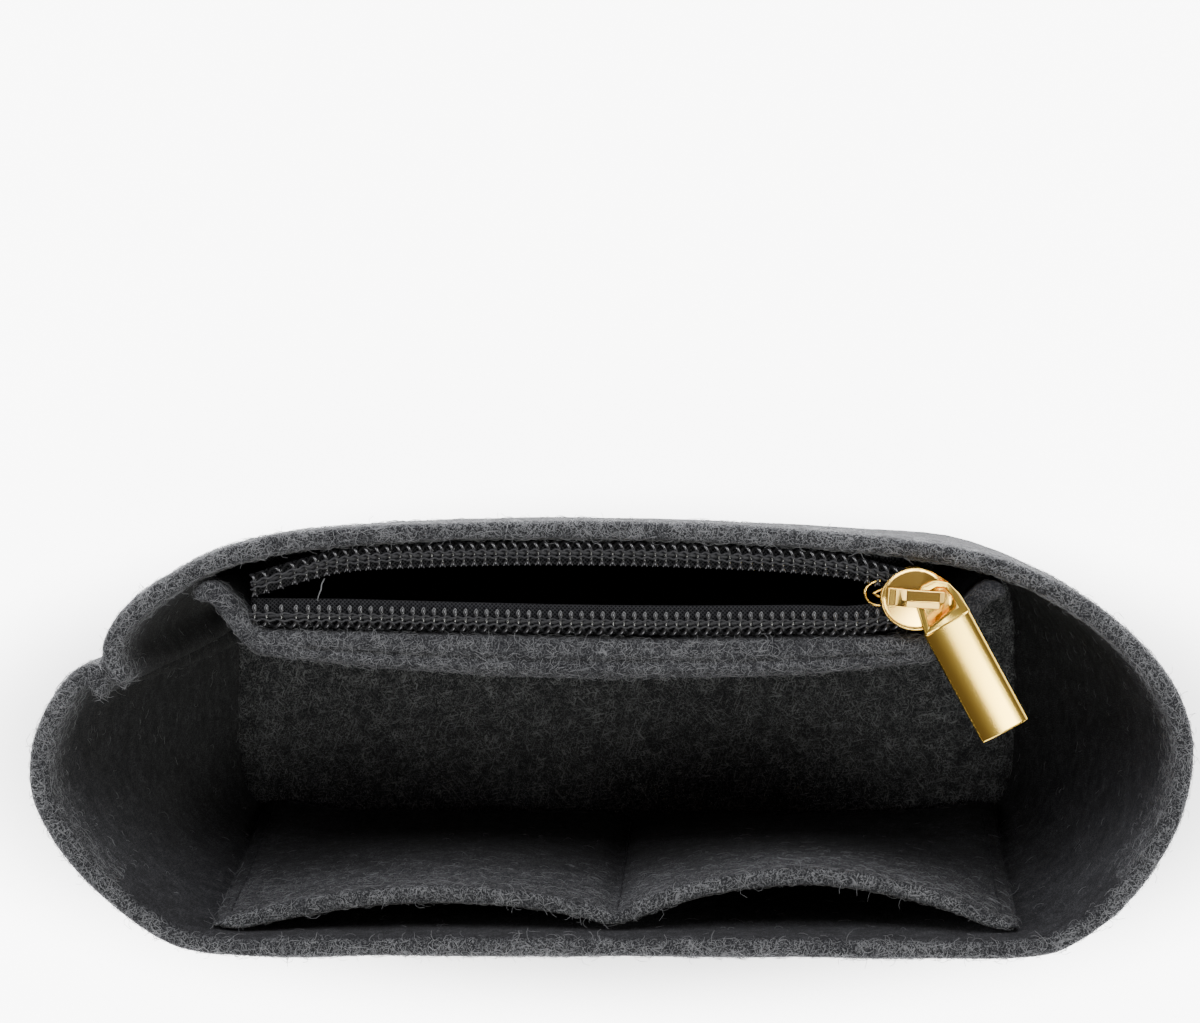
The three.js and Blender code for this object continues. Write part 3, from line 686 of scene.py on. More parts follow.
def finish_felt(piece, node, shaped):
    """Shapes a felt piece, makes its surface uneven and writes each point's lightness and painted
    light.
    """
    tops = top_line(node)
    graph = bmesh.new()
    graph.from_mesh(piece.data)
    shaped(graph)
    graph.normal_update()
    nap_and_light = graph.verts.layers.float.new("nap_and_light")
    for vertex in graph.verts:
        place, normal = vertex.co.copy(), vertex.normal
        edge, vertex[nap_and_light] = nap_and_light_at(node, tops, place, normal)
        wave = noise.noise(place / WAVE_SIZE) * WAVE_DEPTH
        dimple = noise.noise(place / DIMPLE_SIZE) * DIMPLE_DEPTH * edge
        vertex.co += normal * (wave + dimple)
    graph.to_mesh(piece.data)
    graph.free()


# %% Make a felt piece
FELT_LEVELS = 2


def felt_piece(name, node, heights, shaped, prepared=None):
    """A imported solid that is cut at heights, prepared, subdivided, shaped and finished as felt."""
    graph = soft_start(node)
    for height in heights:
        cut_level(graph, height)
    if prepared:
        prepared(graph)
    piece = piece_from(name, graph, FELT)
    smooth = piece.modifiers.new("smooth", "SUBSURF")
    smooth.levels = FELT_LEVELS
    smooth.render_levels = FELT_LEVELS
    settle(piece)
    finish_felt(piece, node, shaped)
    fit(piece, "insert", "felt", node)
    print(name, len(piece.data.polygons), "faces")
    return piece


# %% [markdown]
# ## Wall
# The wall is one strip that goes round the tray. Its two ends meet in a seam at the back left,
# where the stitches press them together as two lips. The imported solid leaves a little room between
# the lips, so a ray is cast from each of them to the other, and both are moved half of the way.

# %% Wall
EDGE_IN = 2.0 * MM
WALL_CUTS = [25 * MM, 45 * MM, 62 * MM, 74 * MM]
LIP_GAP = 1.6 * MM
LIP_OVERLAP = 0.03 * MM
SEAM_CORNER = Vector((-40, 0, 0)) * MM
FOOT_HEIGHT = 3 * MM


def sewn_lips(graph):
    """Presses the two lips of the wall's seam together, as its stitches do."""
    graph.normal_update()
    wall_surface = BVHTree.FromBMesh(graph)
    moves = []
    for vertex in graph.verts:
        if vertex.co.x < SEAM_CORNER.x and vertex.co.y > SEAM_CORNER.y:
            start = vertex.co + vertex.normal * LIP_OVERLAP
            distance = wall_surface.ray_cast(start, vertex.normal, LIP_GAP)[3]
            if distance is not None:
                moves.append((vertex, vertex.normal * (distance / 2 + LIP_OVERLAP)))
    for vertex, move in moves:
        vertex.co += move


def stand_flat(graph):
    """Subdivision lifts the foot off the floor a little, so the lowest points go back to it."""
    foot = min(vertex.co.z for vertex in graph.verts)
    for vertex in graph.verts:
        vertex.co.z -= foot * smooth_step(1 - vertex.co.z / FOOT_HEIGHT)


def shaped_wall(graph):
    sewn_lips(graph)
    stand_flat(graph)


wall = felt_piece("wall_felt", "wall_band", [EDGE_IN, *WALL_CUTS, RIM - EDGE_IN], shaped_wall)

# %% [markdown]
# ## Base
# The base is sewn to the wall all round, and the seam pulls its edge down into a soft crease. It
# reaches on to the lips of the wall's seam, so that no gap shows at their foot. Its solid has only
# long thin faces, so it is first remeshed into small even ones that can be shaped. Its face is given
# the rims' lighter colour and stronger fibres all over, as painted light.

# %% Base
BASE_HALF = (60.4 * MM, 21.9 * MM)
BASE_VOXEL = 0.8 * MM
BASE_RELAX = 4
BASE_NAP_AND_LIGHT = 1.0
BASE_MIDDLE_HEIGHT = 1.4 * MM
BASE_REACH = 0.8 * MM
CREASE_WIDTH = 4 * MM
CREASE_DEPTH = 1.3 * MM
RUCK_PLACE = Vector((-35, -12.5, 0)) * MM
RUCK_SIZE = (7 * MM, 2.5 * MM)
RUCK_HEIGHT = 0.9 * MM
LIPS_END = Vector((-56, 11, 0)) * MM
LIPS_END_SIZE = (4.5 * MM, 4.5 * MM)
LIPS_SIDE = Vector((-57.5, 14.5, 0)) * MM
LIPS_SIDE_SIZE = (3 * MM, 3 * MM)
LIPS_REACH = 3.2 * MM


def nearness(point, place, size):
    """1 at a place on the base, falling to almost 0 at twice the size from it."""
    return math.exp(-(((point.x - place.x) / size[0]) ** 2) - ((point.y - place.y) / size[1]) ** 2)


def sewn_down(graph):
    """Draws the base out to the wall and its lips, presses its edge down and raises a ruck."""
    for vertex in graph.verts:
        vertex.co.x *= 1 + BASE_REACH / BASE_HALF[0]
        vertex.co.y *= 1 + BASE_REACH / BASE_HALF[1]
        to_end = nearness(vertex.co, LIPS_END, LIPS_END_SIZE)
        to_side = nearness(vertex.co, LIPS_SIDE, LIPS_SIDE_SIZE)
        vertex.co.x -= LIPS_REACH * to_end
        vertex.co.y -= LIPS_REACH / 2 * to_side
        if vertex.co.z < BASE_MIDDLE_HEIGHT:
            continue
        inside = min(BASE_HALF[0] - abs(vertex.co.x), BASE_HALF[1] - abs(vertex.co.y))
        vertex.co.z -= CREASE_DEPTH * smooth_step(1 - inside / CREASE_WIDTH) ** 2
        vertex.co.z += RUCK_HEIGHT * nearness(vertex.co, RUCK_PLACE, RUCK_SIZE)


base = piece_from("base_felt", soft_start("base_panel"), FELT)
even = base.modifiers.new("even", "REMESH")
even.mode = "VOXEL"
even.voxel_size = BASE_VOXEL
relax = base.modifiers.new("relax", "SMOOTH")
relax.factor = 0.5
relax.iterations = BASE_RELAX
settle(base)
for polygon in base.data.polygons:
    polygon.use_smooth = True
finish_felt(base, "base_panel", sewn_down)
# Painted light: the whole base takes the rims' lighter colour and stronger fibres.
base_nap_and_light = base.data.attributes["nap_and_light"].data
base_nap_and_light.foreach_set("value", [BASE_NAP_AND_LIGHT] * len(base_nap_and_light))
fit(base, "insert", "felt", "base_panel")
print("base_felt", len(base.data.polygons), "faces")

# %% [markdown]
# ## Slip pockets
# One panel makes both slip pockets. It is sewn to the wall at its ends and down its middle, and
# it bows away from the wall between the seams. Each seam squeezes the felt, so the panel thins
# towards its ends and has a pinched line down its middle.

# %% Slip pockets
SLIP_LEFT = -57 * MM
SLIP_RIGHT = 58 * MM
SLIP_SEAM = 0.3 * MM
PANEL_FOOT = 3.1 * MM
SHARP_EDGE = math.radians(50)
FACES_UP = 0.7
TOP_ROUNDING = 0.9 * MM
SQUEEZE_WIDTH = 5 * MM
SQUEEZE_DEPTH = 1.5 * MM
PINCH_WIDTH = 1.5 * MM
PINCH_DEPTH = 0.9 * MM
SLACK_LOST = 2.0 * MM
SLACK_FROM = 35 * MM
SLACK_TO = 78 * MM


def round_top(graph):
    """Bevels the panel's curved top edges, which no level cut can follow."""
    rim = [e for e in graph.edges if e.is_manifold and e.calc_face_angle() > SHARP_EDGE]
    top = [e for e in rim if max(face.normal.z for face in e.link_faces) > FACES_UP]
    bmesh.ops.bevel(
        graph,
        geom=top,
        offset=TOP_ROUNDING,
        segments=2,
        profile=0.5,
        affect="EDGES",
        clamp_overlap=True,
        material=-1,
    )


def squeezed(graph):
    """Thins the panel at its seams and takes up the slack of the left pocket."""
    graph.normal_update()
    for vertex in graph.verts:
        facing_in = smooth_step(vertex.normal.y + 0.5)
        ends = min(vertex.co.x - SLIP_LEFT, SLIP_RIGHT - vertex.co.x)
        vertex.co.y -= facing_in * SQUEEZE_DEPTH * smooth_step(1 - ends / SQUEEZE_WIDTH)
        pinch = math.exp(-(((vertex.co.x - SLIP_SEAM) / PINCH_WIDTH) ** 2))
        vertex.co.y -= facing_in * PINCH_DEPTH * pinch
        share = (vertex.co.x - SLIP_LEFT) / (SLIP_SEAM - SLIP_LEFT)
        if 0 < share < 1:
            height = smooth_step((vertex.co.z - SLACK_FROM) / (SLACK_TO - SLACK_FROM))
            vertex.co.y -= SLACK_LOST * math.sin(math.pi * share) * height


slip_panel = felt_piece(
    "slip_pocket_felt", "slip_pocket_panel", [PANEL_FOOT + EDGE_IN], squeezed, round_top
)

# %% [markdown]
# ## Zipped pocket
# The zipped pocket's panel has a second strip of felt sewn along its mouth, so two raw edges
# lie side by side there, with a groove between them. The top is cut into narrow strips along
# its length, so that the groove can be pressed into it.

# %% Zipped pocket
HEM_FROM = -47 * MM
HEM_TO = 45 * MM
TOP_POINTS = 0.05 * MM
TOP_EDGES = 0.1 * MM
SHORTEST_CUT = 1.5 * MM
GROOVE_DEPTH = 1.0 * MM
GROOVE_PLACE = 0.46
GROOVE_WIDTH = 0.09
GROOVE_FROM = 2.5 * MM
GROOVE_FADE = 2 * MM
GROOVE_END = 5 * MM
RIPPLE = 0.5
RIPPLE_LENGTH = 6 * MM
RIPPLE_ROW = 3
FRONT_SLOPE = 1.5 * MM


def hem_lines():
    """The hem's front and back lines, as tables of y against x."""
    lines = [{}, {}]
    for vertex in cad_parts["zip_pocket_panel"].data.vertices:
        if vertex.co.z > POCKET_TOP - TOP_POINTS:
            place = round(vertex.co.x / BIN)
            lines[0][place] = min(lines[0].get(place, 1), vertex.co.y)
            lines[1][place] = max(lines[1].get(place, -1), vertex.co.y)
    return [[(place * BIN, line[place]) for place in sorted(line)] for line in lines]


HEM_FRONT, HEM_BACK = hem_lines()


def hem_strips(graph):
    """Cuts the hem's level top into three strips along its length."""
    across = []
    for edge in graph.edges:
        first, second = (vertex.co for vertex in edge.verts)
        level = min(first.z, second.z) > POCKET_TOP - TOP_EDGES
        crosswise = abs(first.y - second.y) > 2 * abs(first.x - second.x)
        in_hem = HEM_FROM < first.x < HEM_TO and edge.calc_length() > SHORTEST_CUT
        if level and crosswise and in_hem:
            across.append(edge)
    bmesh.ops.subdivide_edges(graph, edges=across, cuts=2, use_grid_fill=True)


def grooved(graph):
    """Presses the groove between the two raw edges, and slopes the front one down."""
    for vertex in graph.verts:
        x, y, z = vertex.co
        high = smooth_step((z - POCKET_TOP + GROOVE_FROM) / GROOVE_FADE)
        inside = smooth_step(min(x - HEM_FROM, HEM_TO - x) / GROOVE_END)
        front, back = along(HEM_FRONT, x), along(HEM_BACK, x)
        share = (y - front) / max(back - front, MM)
        ripple = 1 + RIPPLE * noise.noise(Vector((x / RIPPLE_LENGTH, 0, RIPPLE_ROW)))
        groove = math.exp(-(((share - GROOVE_PLACE) / GROOVE_WIDTH) ** 2))
        slope = smooth_step((GROOVE_PLACE - share) / GROOVE_PLACE) ** 2
        vertex.co.z -= (GROOVE_DEPTH * groove * ripple + FRONT_SLOPE * slope) * high * inside


zip_heights = [POCKET_TOP - EDGE_IN, PANEL_FOOT + EDGE_IN]
zip_panel = felt_piece("zip_pocket_felt", "zip_pocket_panel", zip_heights, grooved, hem_strips)

# %% [markdown]
# ## The zip's rows
# Each half of a nylon zip is one monofilament wound round a core cord and sewn to the edge of its
# tape by two rows of chain stitches. The imported model has a coil with fewer, wider loops. Here the
# real pitch is used. A row's line is read from the imported core cord, whose rings are averaged. As
# the zip closes, a row bends: its ends stay with the felt and its middle is drawn in. Each row is
# made here in a left and a right half, built where they lie.


# %% Read a cord's middle line
def middle_line(node, axis=0, gap=1.5 * MM):
    """The middle of each ring of a packed cord, in order along one axis."""
    corners = [vertex.co.copy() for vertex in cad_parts[node].data.vertices]
    corners.sort(key=lambda corner: corner[axis])
    rings = [[corners[0]]]
    for corner in corners[1:]:
        if corner[axis] - rings[-1][-1][axis] > gap:
            rings.append([])
        rings[-1].append(corner)
    return [sum(set(c.freeze() for c in ring), Vector()) / len(set(ring)) for ring in rings]


def smooth_point(points, share):
    """A point on a smooth line through the points, at a share of their count."""
    place = share * (len(points) - 1)
    index = min(int(place), len(points) - 2)
    t = place - index
    a = points[max(index - 1, 0)]
    b, c = points[index], points[index + 1]
    d = points[min(index + 2, len(points) - 1)]
    square = a * 2 - b * 5 + c * 4 - d
    cube = b * 3 - a - c * 3 + d
    return (b * 2 + (c - a) * t + square * t * t + cube * t * t * t) / 2


# %% Let a row's left end sink
END_SINK = 0.9 * MM
END_LENGTH = 5 * MM
END_EXTRA = 1.5 * MM


def row_line(node):
    """A row's line, with its left end sinking towards the felt that it is sewn to."""
    line = middle_line(node)
    line[0] = line[0] + (line[0] - line[1]).normalized() * END_EXTRA
    for point in line:
        point.z -= END_SINK * smooth_step(1 - (point.x - line[0].x) / END_LENGTH)
    return line


# %% The halves of a row
HALVES = {
    "left": {"span": (0.0, 0.5), "still": -0.0493, "moving": -0.038},
    "right": {"span": (0.5, 1.0), "still": 0.0456, "moving": 0.034},
}
ROWS = {"back": 1, "front": -1}
ROW_LINES = {row_name: row_line(f"zip_core_{row_name}") for row_name in ROWS}
PITCH = 1.5 * MM


def draw_in(piece):
    """Bakes the half's place into its vertices."""
    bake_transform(piece)


def teeth(line, half):
    """A half's first tooth, the one after its last, and the number of teeth in the whole row."""
    turns = round((line[-1] - line[0]).length / PITCH)
    return int(half["span"][0] * turns), int(half["span"][1] * turns), turns


# %% [markdown]
# ## Coils
# A coil is one long wire, so each half is one curve with a round section. A real loop isn't a
# circle: it is flat above and below, and its head, which meets the other row, is pressed wider. So
# the wire goes round a rounded box and swells at the head. The dies leave a mark on every head as
# well, an oval ring in the front row and a small fork in the back one.

# %% Coil
WIRE = 0.26 * MM
ROW_WIDTH = 3.45 * MM
ROW_HEIGHT = 2.1 * MM
TURN_STEPS = 20
BOX_ACROSS = 0.75
BOX_UP = 0.6
HEAD_SWELL = 0.25


def boxed(wave, power):
    """A sine or cosine that is filled out, which turns a circle into a rounded box."""
    return math.copysign(abs(wave) ** power, wave)


def coil_turn(angle, side):
    """Where the wire lies along, across and up from the core, and how thick it is there."""
    across = boxed(math.cos(angle), BOX_ACROSS) * (ROW_WIDTH / 2 - WIRE)
    up = boxed(math.sin(angle), BOX_UP) * (ROW_HEIGHT / 2 - WIRE)
    if angle < math.pi / 2:
        step = smooth_step((angle + 0.5 * math.pi) / math.pi) - 1
    else:
        step = smooth_step((angle - 1.5 * math.pi) / math.pi)
    head = max(0.0, -math.cos(angle)) ** 6
    return step * PITCH, side * across, up, 1 + HEAD_SWELL * head


def coil_wire(line, side, first, last, turns):
    """The wire's points from one tooth to another, and its thickness at each of them."""
    wire, sizes = [], []
    for turn in range(first, last):
        middle = smooth_point(line, (turn + 0.5) / turns)
        ahead = smooth_point(line, (turn + 1) / turns) - smooth_point(line, turn / turns)
        for step in range(TURN_STEPS):
            along_row, across, up, size = coil_turn(2 * math.pi * step / TURN_STEPS, side)
            wire.append(middle + ahead * (along_row / PITCH) + Vector((0, across, up)))
            sizes.append(size)
    return wire, sizes


# %% Heads of the teeth
HEAD_WIRE = 0.4
HEAD_STEPS = 5
HEAD_REACH = 1.15 * MM
HEAD_INSET = 0.05 * MM
RING_SPREAD = 0.25 * MM
RING_DIP = 0.25 * MM
FORK_SPREAD = 0.38 * MM
FORK_DIP = 0.35 * MM


def head_shape(side, share):
    """How far a head's mark spreads and dips at a share of its length."""
    if side > 0:
        return FORK_SPREAD * (1 - share) ** 1.6, FORK_DIP * (1 - share) ** 2
    oval = math.sin(math.pi * min(share * 1.1, 1)) ** 0.6
    return RING_SPREAD * oval, RING_DIP * (1 - share) ** 3


def head_lines(line, side, first, last, turns):
    """The two sides of the mark on each tooth's head."""
    lines = []
    top = ROW_HEIGHT / 2 - HEAD_INSET
    gap_side = -side * (ROW_WIDTH / 2 - HEAD_INSET)
    for turn in range(first, last):
        centre = smooth_point(line, (turn + 0.5) / turns)
        for lean in (-1, 1):
            points = []
            for step in range(HEAD_STEPS + 1):
                share = step / HEAD_STEPS
                spread, dip = head_shape(side, share)
                across = gap_side + side * HEAD_REACH * share
                points.append(centre + Vector((lean * spread, across, top - dip)))
            lines.append(points)
    return lines


for row_name, side in ROWS.items():
    line = ROW_LINES[row_name]
    for half_name, half in HALVES.items():
        first, last, turns = teeth(line, half)
        wire, sizes = coil_wire(line, side, first, last, turns)
        heads = head_lines(line, side, first, last, turns)
        radii = [sizes] + [[HEAD_WIRE] * len(points) for points in heads]
        coil = threads(f"coil_{row_name}_{half_name}", [wire] + heads, WIRE, NYLON, radii=radii)
        draw_in(coil)
        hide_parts(f"zip_coil_{row_name}")
        print(coil.name, last - first, "teeth,", len(coil.data.polygons), "faces")

# %% [markdown]
# ## Core and chain stitches
# A soft core cord runs through the loops, and two rows of stitches hold them to the tape. They show
# as thread that dips between one loop and the next, so there is one stitch to each tooth.

# %% Core and chain stitches
STITCH_THREAD = 0.15 * MM
STITCH_STEPS = 8
STITCH_DIP = 0.32 * MM
STITCH_WEAVE = 0.13 * MM
CORE_SIZE = 1.8


def chain_stitches(line, lean, first, last, turns):
    points = []
    for step in range(first * STITCH_STEPS, last * STITCH_STEPS + 1):
        turn = 2 * math.pi * (step / STITCH_STEPS - 0.5)
        dip = -STITCH_DIP * (1 - math.cos(turn)) / 2
        sway = lean * STITCH_WEAVE * math.sin(turn)
        points.append(smooth_point(line, step / (turns * STITCH_STEPS)) + Vector((0, sway, dip)))
    return points


for row_name, core_line in ROW_LINES.items():
    for half_name, half in HALVES.items():
        first, last, turns = teeth(core_line, half)
        lines = [[smooth_point(core_line, turn / turns) for turn in range(first, last + 1)]]
        sizes = [[CORE_SIZE] * len(lines[0])]
        for place, lean in (("inner", 1), ("outer", -1)):
            stitch_line = row_line(f"zip_stitch_{row_name}_{place}")
            lines.append(chain_stitches(stitch_line, lean, first, last, turns))
            sizes.append([1.0] * len(lines[-1]))
        stitches_name = f"stitches_{row_name}_{half_name}"
        stitches = threads(stitches_name, lines, STITCH_THREAD, ZIP_THREAD, radii=sizes)
        draw_in(stitches)
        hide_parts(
            f"zip_core_{row_name}",
            f"zip_stitch_{row_name}_inner",
            f"zip_stitch_{row_name}_outer",
        )
        print(stitches.name, len(stitches.data.polygons), "faces")

# %% [markdown]
# ## Tapes
# Each tape lies flat under its coil and turns down along the felt that it is sewn to. The flat part
# follows the coil, and the part that hangs stays with the felt at its foot, so they are two pieces.

# %% Flat part of a tape
TAPE_THICKNESS = 0.45 * MM
TAPE_DROP = -1.3 * MM
TAPE_EDGES = {"back": (-1.70 * MM, 1.65 * MM), "front": (-1.62 * MM, 2.45 * MM)}
TAPE_STEPS = (64, 4)
flat_tapes = {"back": [], "front": []}

for row_name, line in ROW_LINES.items():
    low_edge, high_edge = TAPE_EDGES[row_name]
    for half_name, half in HALVES.items():
        start, end = half["span"]
        graph = bmesh.new()
        bmesh.ops.create_grid(graph, x_segments=TAPE_STEPS[0], y_segments=TAPE_STEPS[1], size=1)
        for vertex in graph.verts:
            share = start + (vertex.co.x + 1) / 2 * (end - start)
            across = low_edge + (vertex.co.y + 1) / 2 * (high_edge - low_edge)
            vertex.co = smooth_point(line, share) + Vector((0, across, TAPE_DROP))
        flat_tape = piece_from(f"tape_{row_name}_{half_name}", graph, TAPE)
        thick = flat_tape.modifiers.new("thick", "SOLIDIFY")
        thick.thickness = TAPE_THICKNESS
        thick.offset = 0
        settle(flat_tape)
        draw_in(flat_tape)
        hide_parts(f"zip_tape_{row_name}")
        flat_tapes[row_name].append(flat_tape)
        print(flat_tape.name, len(flat_tape.data.polygons), "faces")

# %% Hanging part of a tape
HANG_TOP = 81.7 * MM
HANG_END = 10 * MM
HANG_FALL = 4.5 * MM
FALL_FROM = 76 * MM
FALL_FADE = 4 * MM
hanging = []

for row_name in ROWS:
    graph = soft_start(f"zip_tape_{row_name}")
    cut_level(graph, HANG_TOP, keep_below=True)
    ends = min(v.co.x for v in graph.verts), max(v.co.x for v in graph.verts)
    for vertex in graph.verts:
        inside = min(vertex.co.x - ends[0], ends[1] - vertex.co.x)
        high = smooth_step((vertex.co.z - FALL_FROM) / FALL_FADE)
        vertex.co.z -= HANG_FALL * high * smooth_step(1 - inside / HANG_END)
    hang = piece_from(f"tape_{row_name}_hanging", graph, TAPE, smooth=False)
    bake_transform(hang)
    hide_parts(f"zip_tape_{row_name}")
    hanging.append(hang)
    print(hang.name, len(hang.data.polygons), "faces")

# %% [markdown]
# ## Slider
# The slider is one die casting: two plates joined by a post, with side walls that guide the rows
# and a bail on top that holds the pull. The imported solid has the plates, walls and post, so a copy
# is cut off just under its top plate.

# %% Casting below the top plate
PLATE_LOW = 85.22 * MM
GOLD_BODIES = {
    "slider": {"material": SLIDER_GOLD, "slot": "slider_gold", "node": "slider_body"},
    "pull": {"material": PULL_GOLD, "slot": "pull_gold", "node": "pull"},
}


def gold_piece(name, graph, body, edge, smooth_angle=35):
    """A cast piece of the slider or the pull, with its sharp edges rounded."""
    gold = GOLD_BODIES[body]
    bmesh.ops.recalc_face_normals(graph, faces=graph.faces)
    piece = piece_from(name, graph, gold["material"])
    bevel = piece.modifiers.new("edges", "BEVEL")
    bevel.width = edge
    bevel.segments = 3
    bevel.limit_method = "ANGLE"
    bevel.angle_limit = math.radians(smooth_angle)
    bevel.harden_normals = True
    settle(piece)
    fit(piece, body, gold["slot"], gold["node"])
    print(name, len(piece.data.polygons), "faces")


graph = soft_start("slider_body")
cut_level(graph, PLATE_LOW, keep_below=True)
gold_piece("slider_casting", graph, "slider", 0.07 * MM)

# %% [markdown]
# ## Top plate
# The plate is modelled anew from rings that shrink towards its middle: a thin raised rim, a hollow,
# and a dome that slopes down to the right. A ring keeps the outline's shape and takes its height
# from a short table. Every quad starts at the same corner, so that all of them split the same way
# where the dome bends, which bridging the rings doesn't promise.

# %% Top plate
PLATE_MIDDLE = Vector((42.6, 19.91, 0))
PLATE_OUTLINE = [(38.0, 19.91), (38.24, 21.25), (38.94, 22.46), (40.02, 23.43), (41.39, 24.04)]
PLATE_OUTLINE += [(42.9, 24.26), (44.4, 24.0), (46.0, 23.15), (47.4, 22.15), (48.2, 21.15)]
PLATE_OUTLINE += [(48.35, 19.91)]
PLATE_RINGS = [(0.985, 85.18), (1.01, 85.30), (1.01, 85.80), (0.998, 85.92), (0.978, 85.97)]
PLATE_RINGS += [(0.958, 85.95), (0.94, 85.92), (0.86, 85.94), (0.72, 85.975), (0.56, 86.005)]
PLATE_RINGS += [(0.40, 86.03), (0.25, 86.045), (0.12, 86.05)]
PLATE_STEPS = 72
PLATE_FALL_FROM = 43.8
PLATE_FALL = 0.17
BACK_FALL_FROM = 20.2
BACK_FALL = 0.11
MOST_FALL = 0.62
FALLS_ABOVE = 85.3
PLATE_FLOOR = 85.2
FADE_HEIGHT = 0.4

half_outline = [Vector((x, y, 0)) for x, y in PLATE_OUTLINE]
other_half = [Vector((co.x, 2 * PLATE_MIDDLE.y - co.y, 0)) for co in reversed(half_outline[1:-1])]
closed = half_outline + other_half + half_outline[:1]


def plate_ring(scale, height):
    """The plate's outline at a scale and a height, lowered towards the right and the back."""
    places = []
    for step in range(PLATE_STEPS):
        flat = PLATE_MIDDLE + (smooth_point(closed, step / PLATE_STEPS) - PLATE_MIDDLE) * scale
        to_right = PLATE_FALL * max(flat.x - PLATE_FALL_FROM, 0)
        to_back = BACK_FALL * max(flat.y - BACK_FALL_FROM, 0)
        raised = smooth_step((height - FALLS_ABOVE) / FADE_HEIGHT)
        fall = min(to_right + to_back, MOST_FALL) * raised
        places.append((flat.x, flat.y, max(height - fall, PLATE_FLOOR)))
    return places


graph = bmesh.new()
rings = []
for scale, height in PLATE_RINGS:
    rings.append([graph.verts.new(Vector(place) * MM) for place in plate_ring(scale, height)])
for outer, inner in zip(rings, rings[1:]):
    for step in range(PLATE_STEPS):
        after = (step + 1) % PLATE_STEPS
        graph.faces.new((outer[step], outer[after], inner[after], inner[step]))
graph.faces.new(rings[0])
graph.faces.new(rings[-1])
gold_piece("slider_plate", graph, "slider", 0.02 * MM, 60)

# %% [markdown]
# ## Bail
# The bail is a low arch over the plate. Its side view is one outline, which is repeated in three
# slices across it and bridged. The outer slices are lower on top, so that the arch is crowned.

# %% Bail
BAIL_PROFILE = [
    (38.80, 85.4),
    (38.85, 87.0),
    (39.10, 87.25),
    (40.00, 87.32),
    (40.50, 87.75),
    (40.95, 88.45),
    (41.50, 88.85),
    (43.80, 88.98),
    (46.10, 88.90),
    (46.75, 88.40),
    (46.85, 85.2),
    (45.55, 85.2),
    (45.50, 88.0),
    (42.20, 88.02),
    (41.40, 87.5),
    (40.95, 85.4),
]
BAIL_SLICES = [(-1.25, -0.62), (-0.35, 0.0), (1.2, -0.22)]
BAIL_LINE = 20.15
BAIL_MIDDLE = Vector((42.8, BAIL_LINE, 0)) * MM
BAIL_TURN = Matrix.Rotation(math.radians(-3.5), 3, "Z")
CROWN_ABOVE = 88.1


def ring_edges(graph, places):
    """A closed loop of edges through places in millimetres."""
    corners = [graph.verts.new(Vector(place) * MM) for place in places]
    return [graph.edges.new(pair) for pair in zip(corners, corners[1:] + corners[:1])]


def bail_slice(y, drop):
    """The bail's side view at one place across it, with its top lowered by a drop."""
    return [
        (x, y + BAIL_LINE, z + drop * smooth_step((z - CROWN_ABOVE) / FADE_HEIGHT))
        for x, z in BAIL_PROFILE
    ]


graph = bmesh.new()
slices = [ring_edges(graph, bail_slice(y, drop)) for y, drop in BAIL_SLICES]
for near, far in zip(slices, slices[1:]):
    bmesh.ops.bridge_loops(graph, edges=near + far)
for end in (slices[0], slices[-1]):
    bmesh.ops.contextual_create(graph, geom=end)
bmesh.ops.rotate(graph, verts=graph.verts, cent=BAIL_MIDDLE, matrix=BAIL_TURN)
gold_piece("slider_bail", graph, "slider", 0.12 * MM, 20)

# %% [markdown]
# ## Mouth of the slider
# The two channels for the rows open at the slider's left end, round a small wedge that parts the
# rows. Only their rounded lips show from above, so each is drawn as a thick thread.

# %% Mouth of the slider
MOUTH_MIDDLE = Vector((37.9, 20.6, 83.6)) * MM
MOUTH_REACH = 2.1 * MM
MOUTH_HALF = 1.75 * MM
MOUTH_STEPS = 16
MOUTH_LIP = 0.2 * MM
WEDGE = [(0.9, 0.9, 0.3), (-0.5, 0.25, 0.3), (-0.9, 0, 0.3), (-0.5, -0.25, 0.3), (0.9, -0.9, 0.3)]

mouth = []
for step in range(MOUTH_STEPS + 1):
    angle = math.pi * (0.5 + step / MOUTH_STEPS)
    turned = Vector((MOUTH_REACH * math.cos(angle), MOUTH_HALF * math.sin(angle), 0))
    mouth.append(MOUTH_MIDDLE + turned)
wedge = [MOUTH_MIDDLE + Vector(place) * MM for place in WEDGE]
mouth_lips = threads("slider_mouth", [mouth, wedge], MOUTH_LIP, SLIDER_GOLD, 3)
fit(mouth_lips, "slider", "slider_gold", "slider_body")
print(mouth_lips.name, len(mouth_lips.data.polygons), "faces")

# %% [markdown]
# ## Pull
# The pull is a second casting: an open ring that hangs on the bail and a plain bar below it. Its
# outline is drawn in the pull's own directions, along the bar and across it, and then turned and
# moved to the bail's foot. The bar's top slopes down to one side, which is where it goes bronze.

# %% The pull's own directions
PULL_PIVOT = Vector((46.15, 19.91, 0)) * MM
PULL_TURN = Matrix.Rotation(math.radians(-61.4), 3, "Z")
PULL_TOP = 88.55


def place_pull(graph):
    bmesh.ops.rotate(graph, verts=graph.verts, cent=(0, 0, 0), matrix=PULL_TURN)
    bmesh.ops.translate(graph, verts=graph.verts, vec=PULL_PIVOT)


def pushed_out(graph, faces, move):
    """Extrudes faces by a move, and gives back the new vertices."""
    extruded = bmesh.ops.extrude_face_region(graph, geom=faces)["geom"]
    moved = [part for part in extruded if isinstance(part, bmesh.types.BMVert)]
    bmesh.ops.translate(graph, verts=moved, vec=move)
    return moved


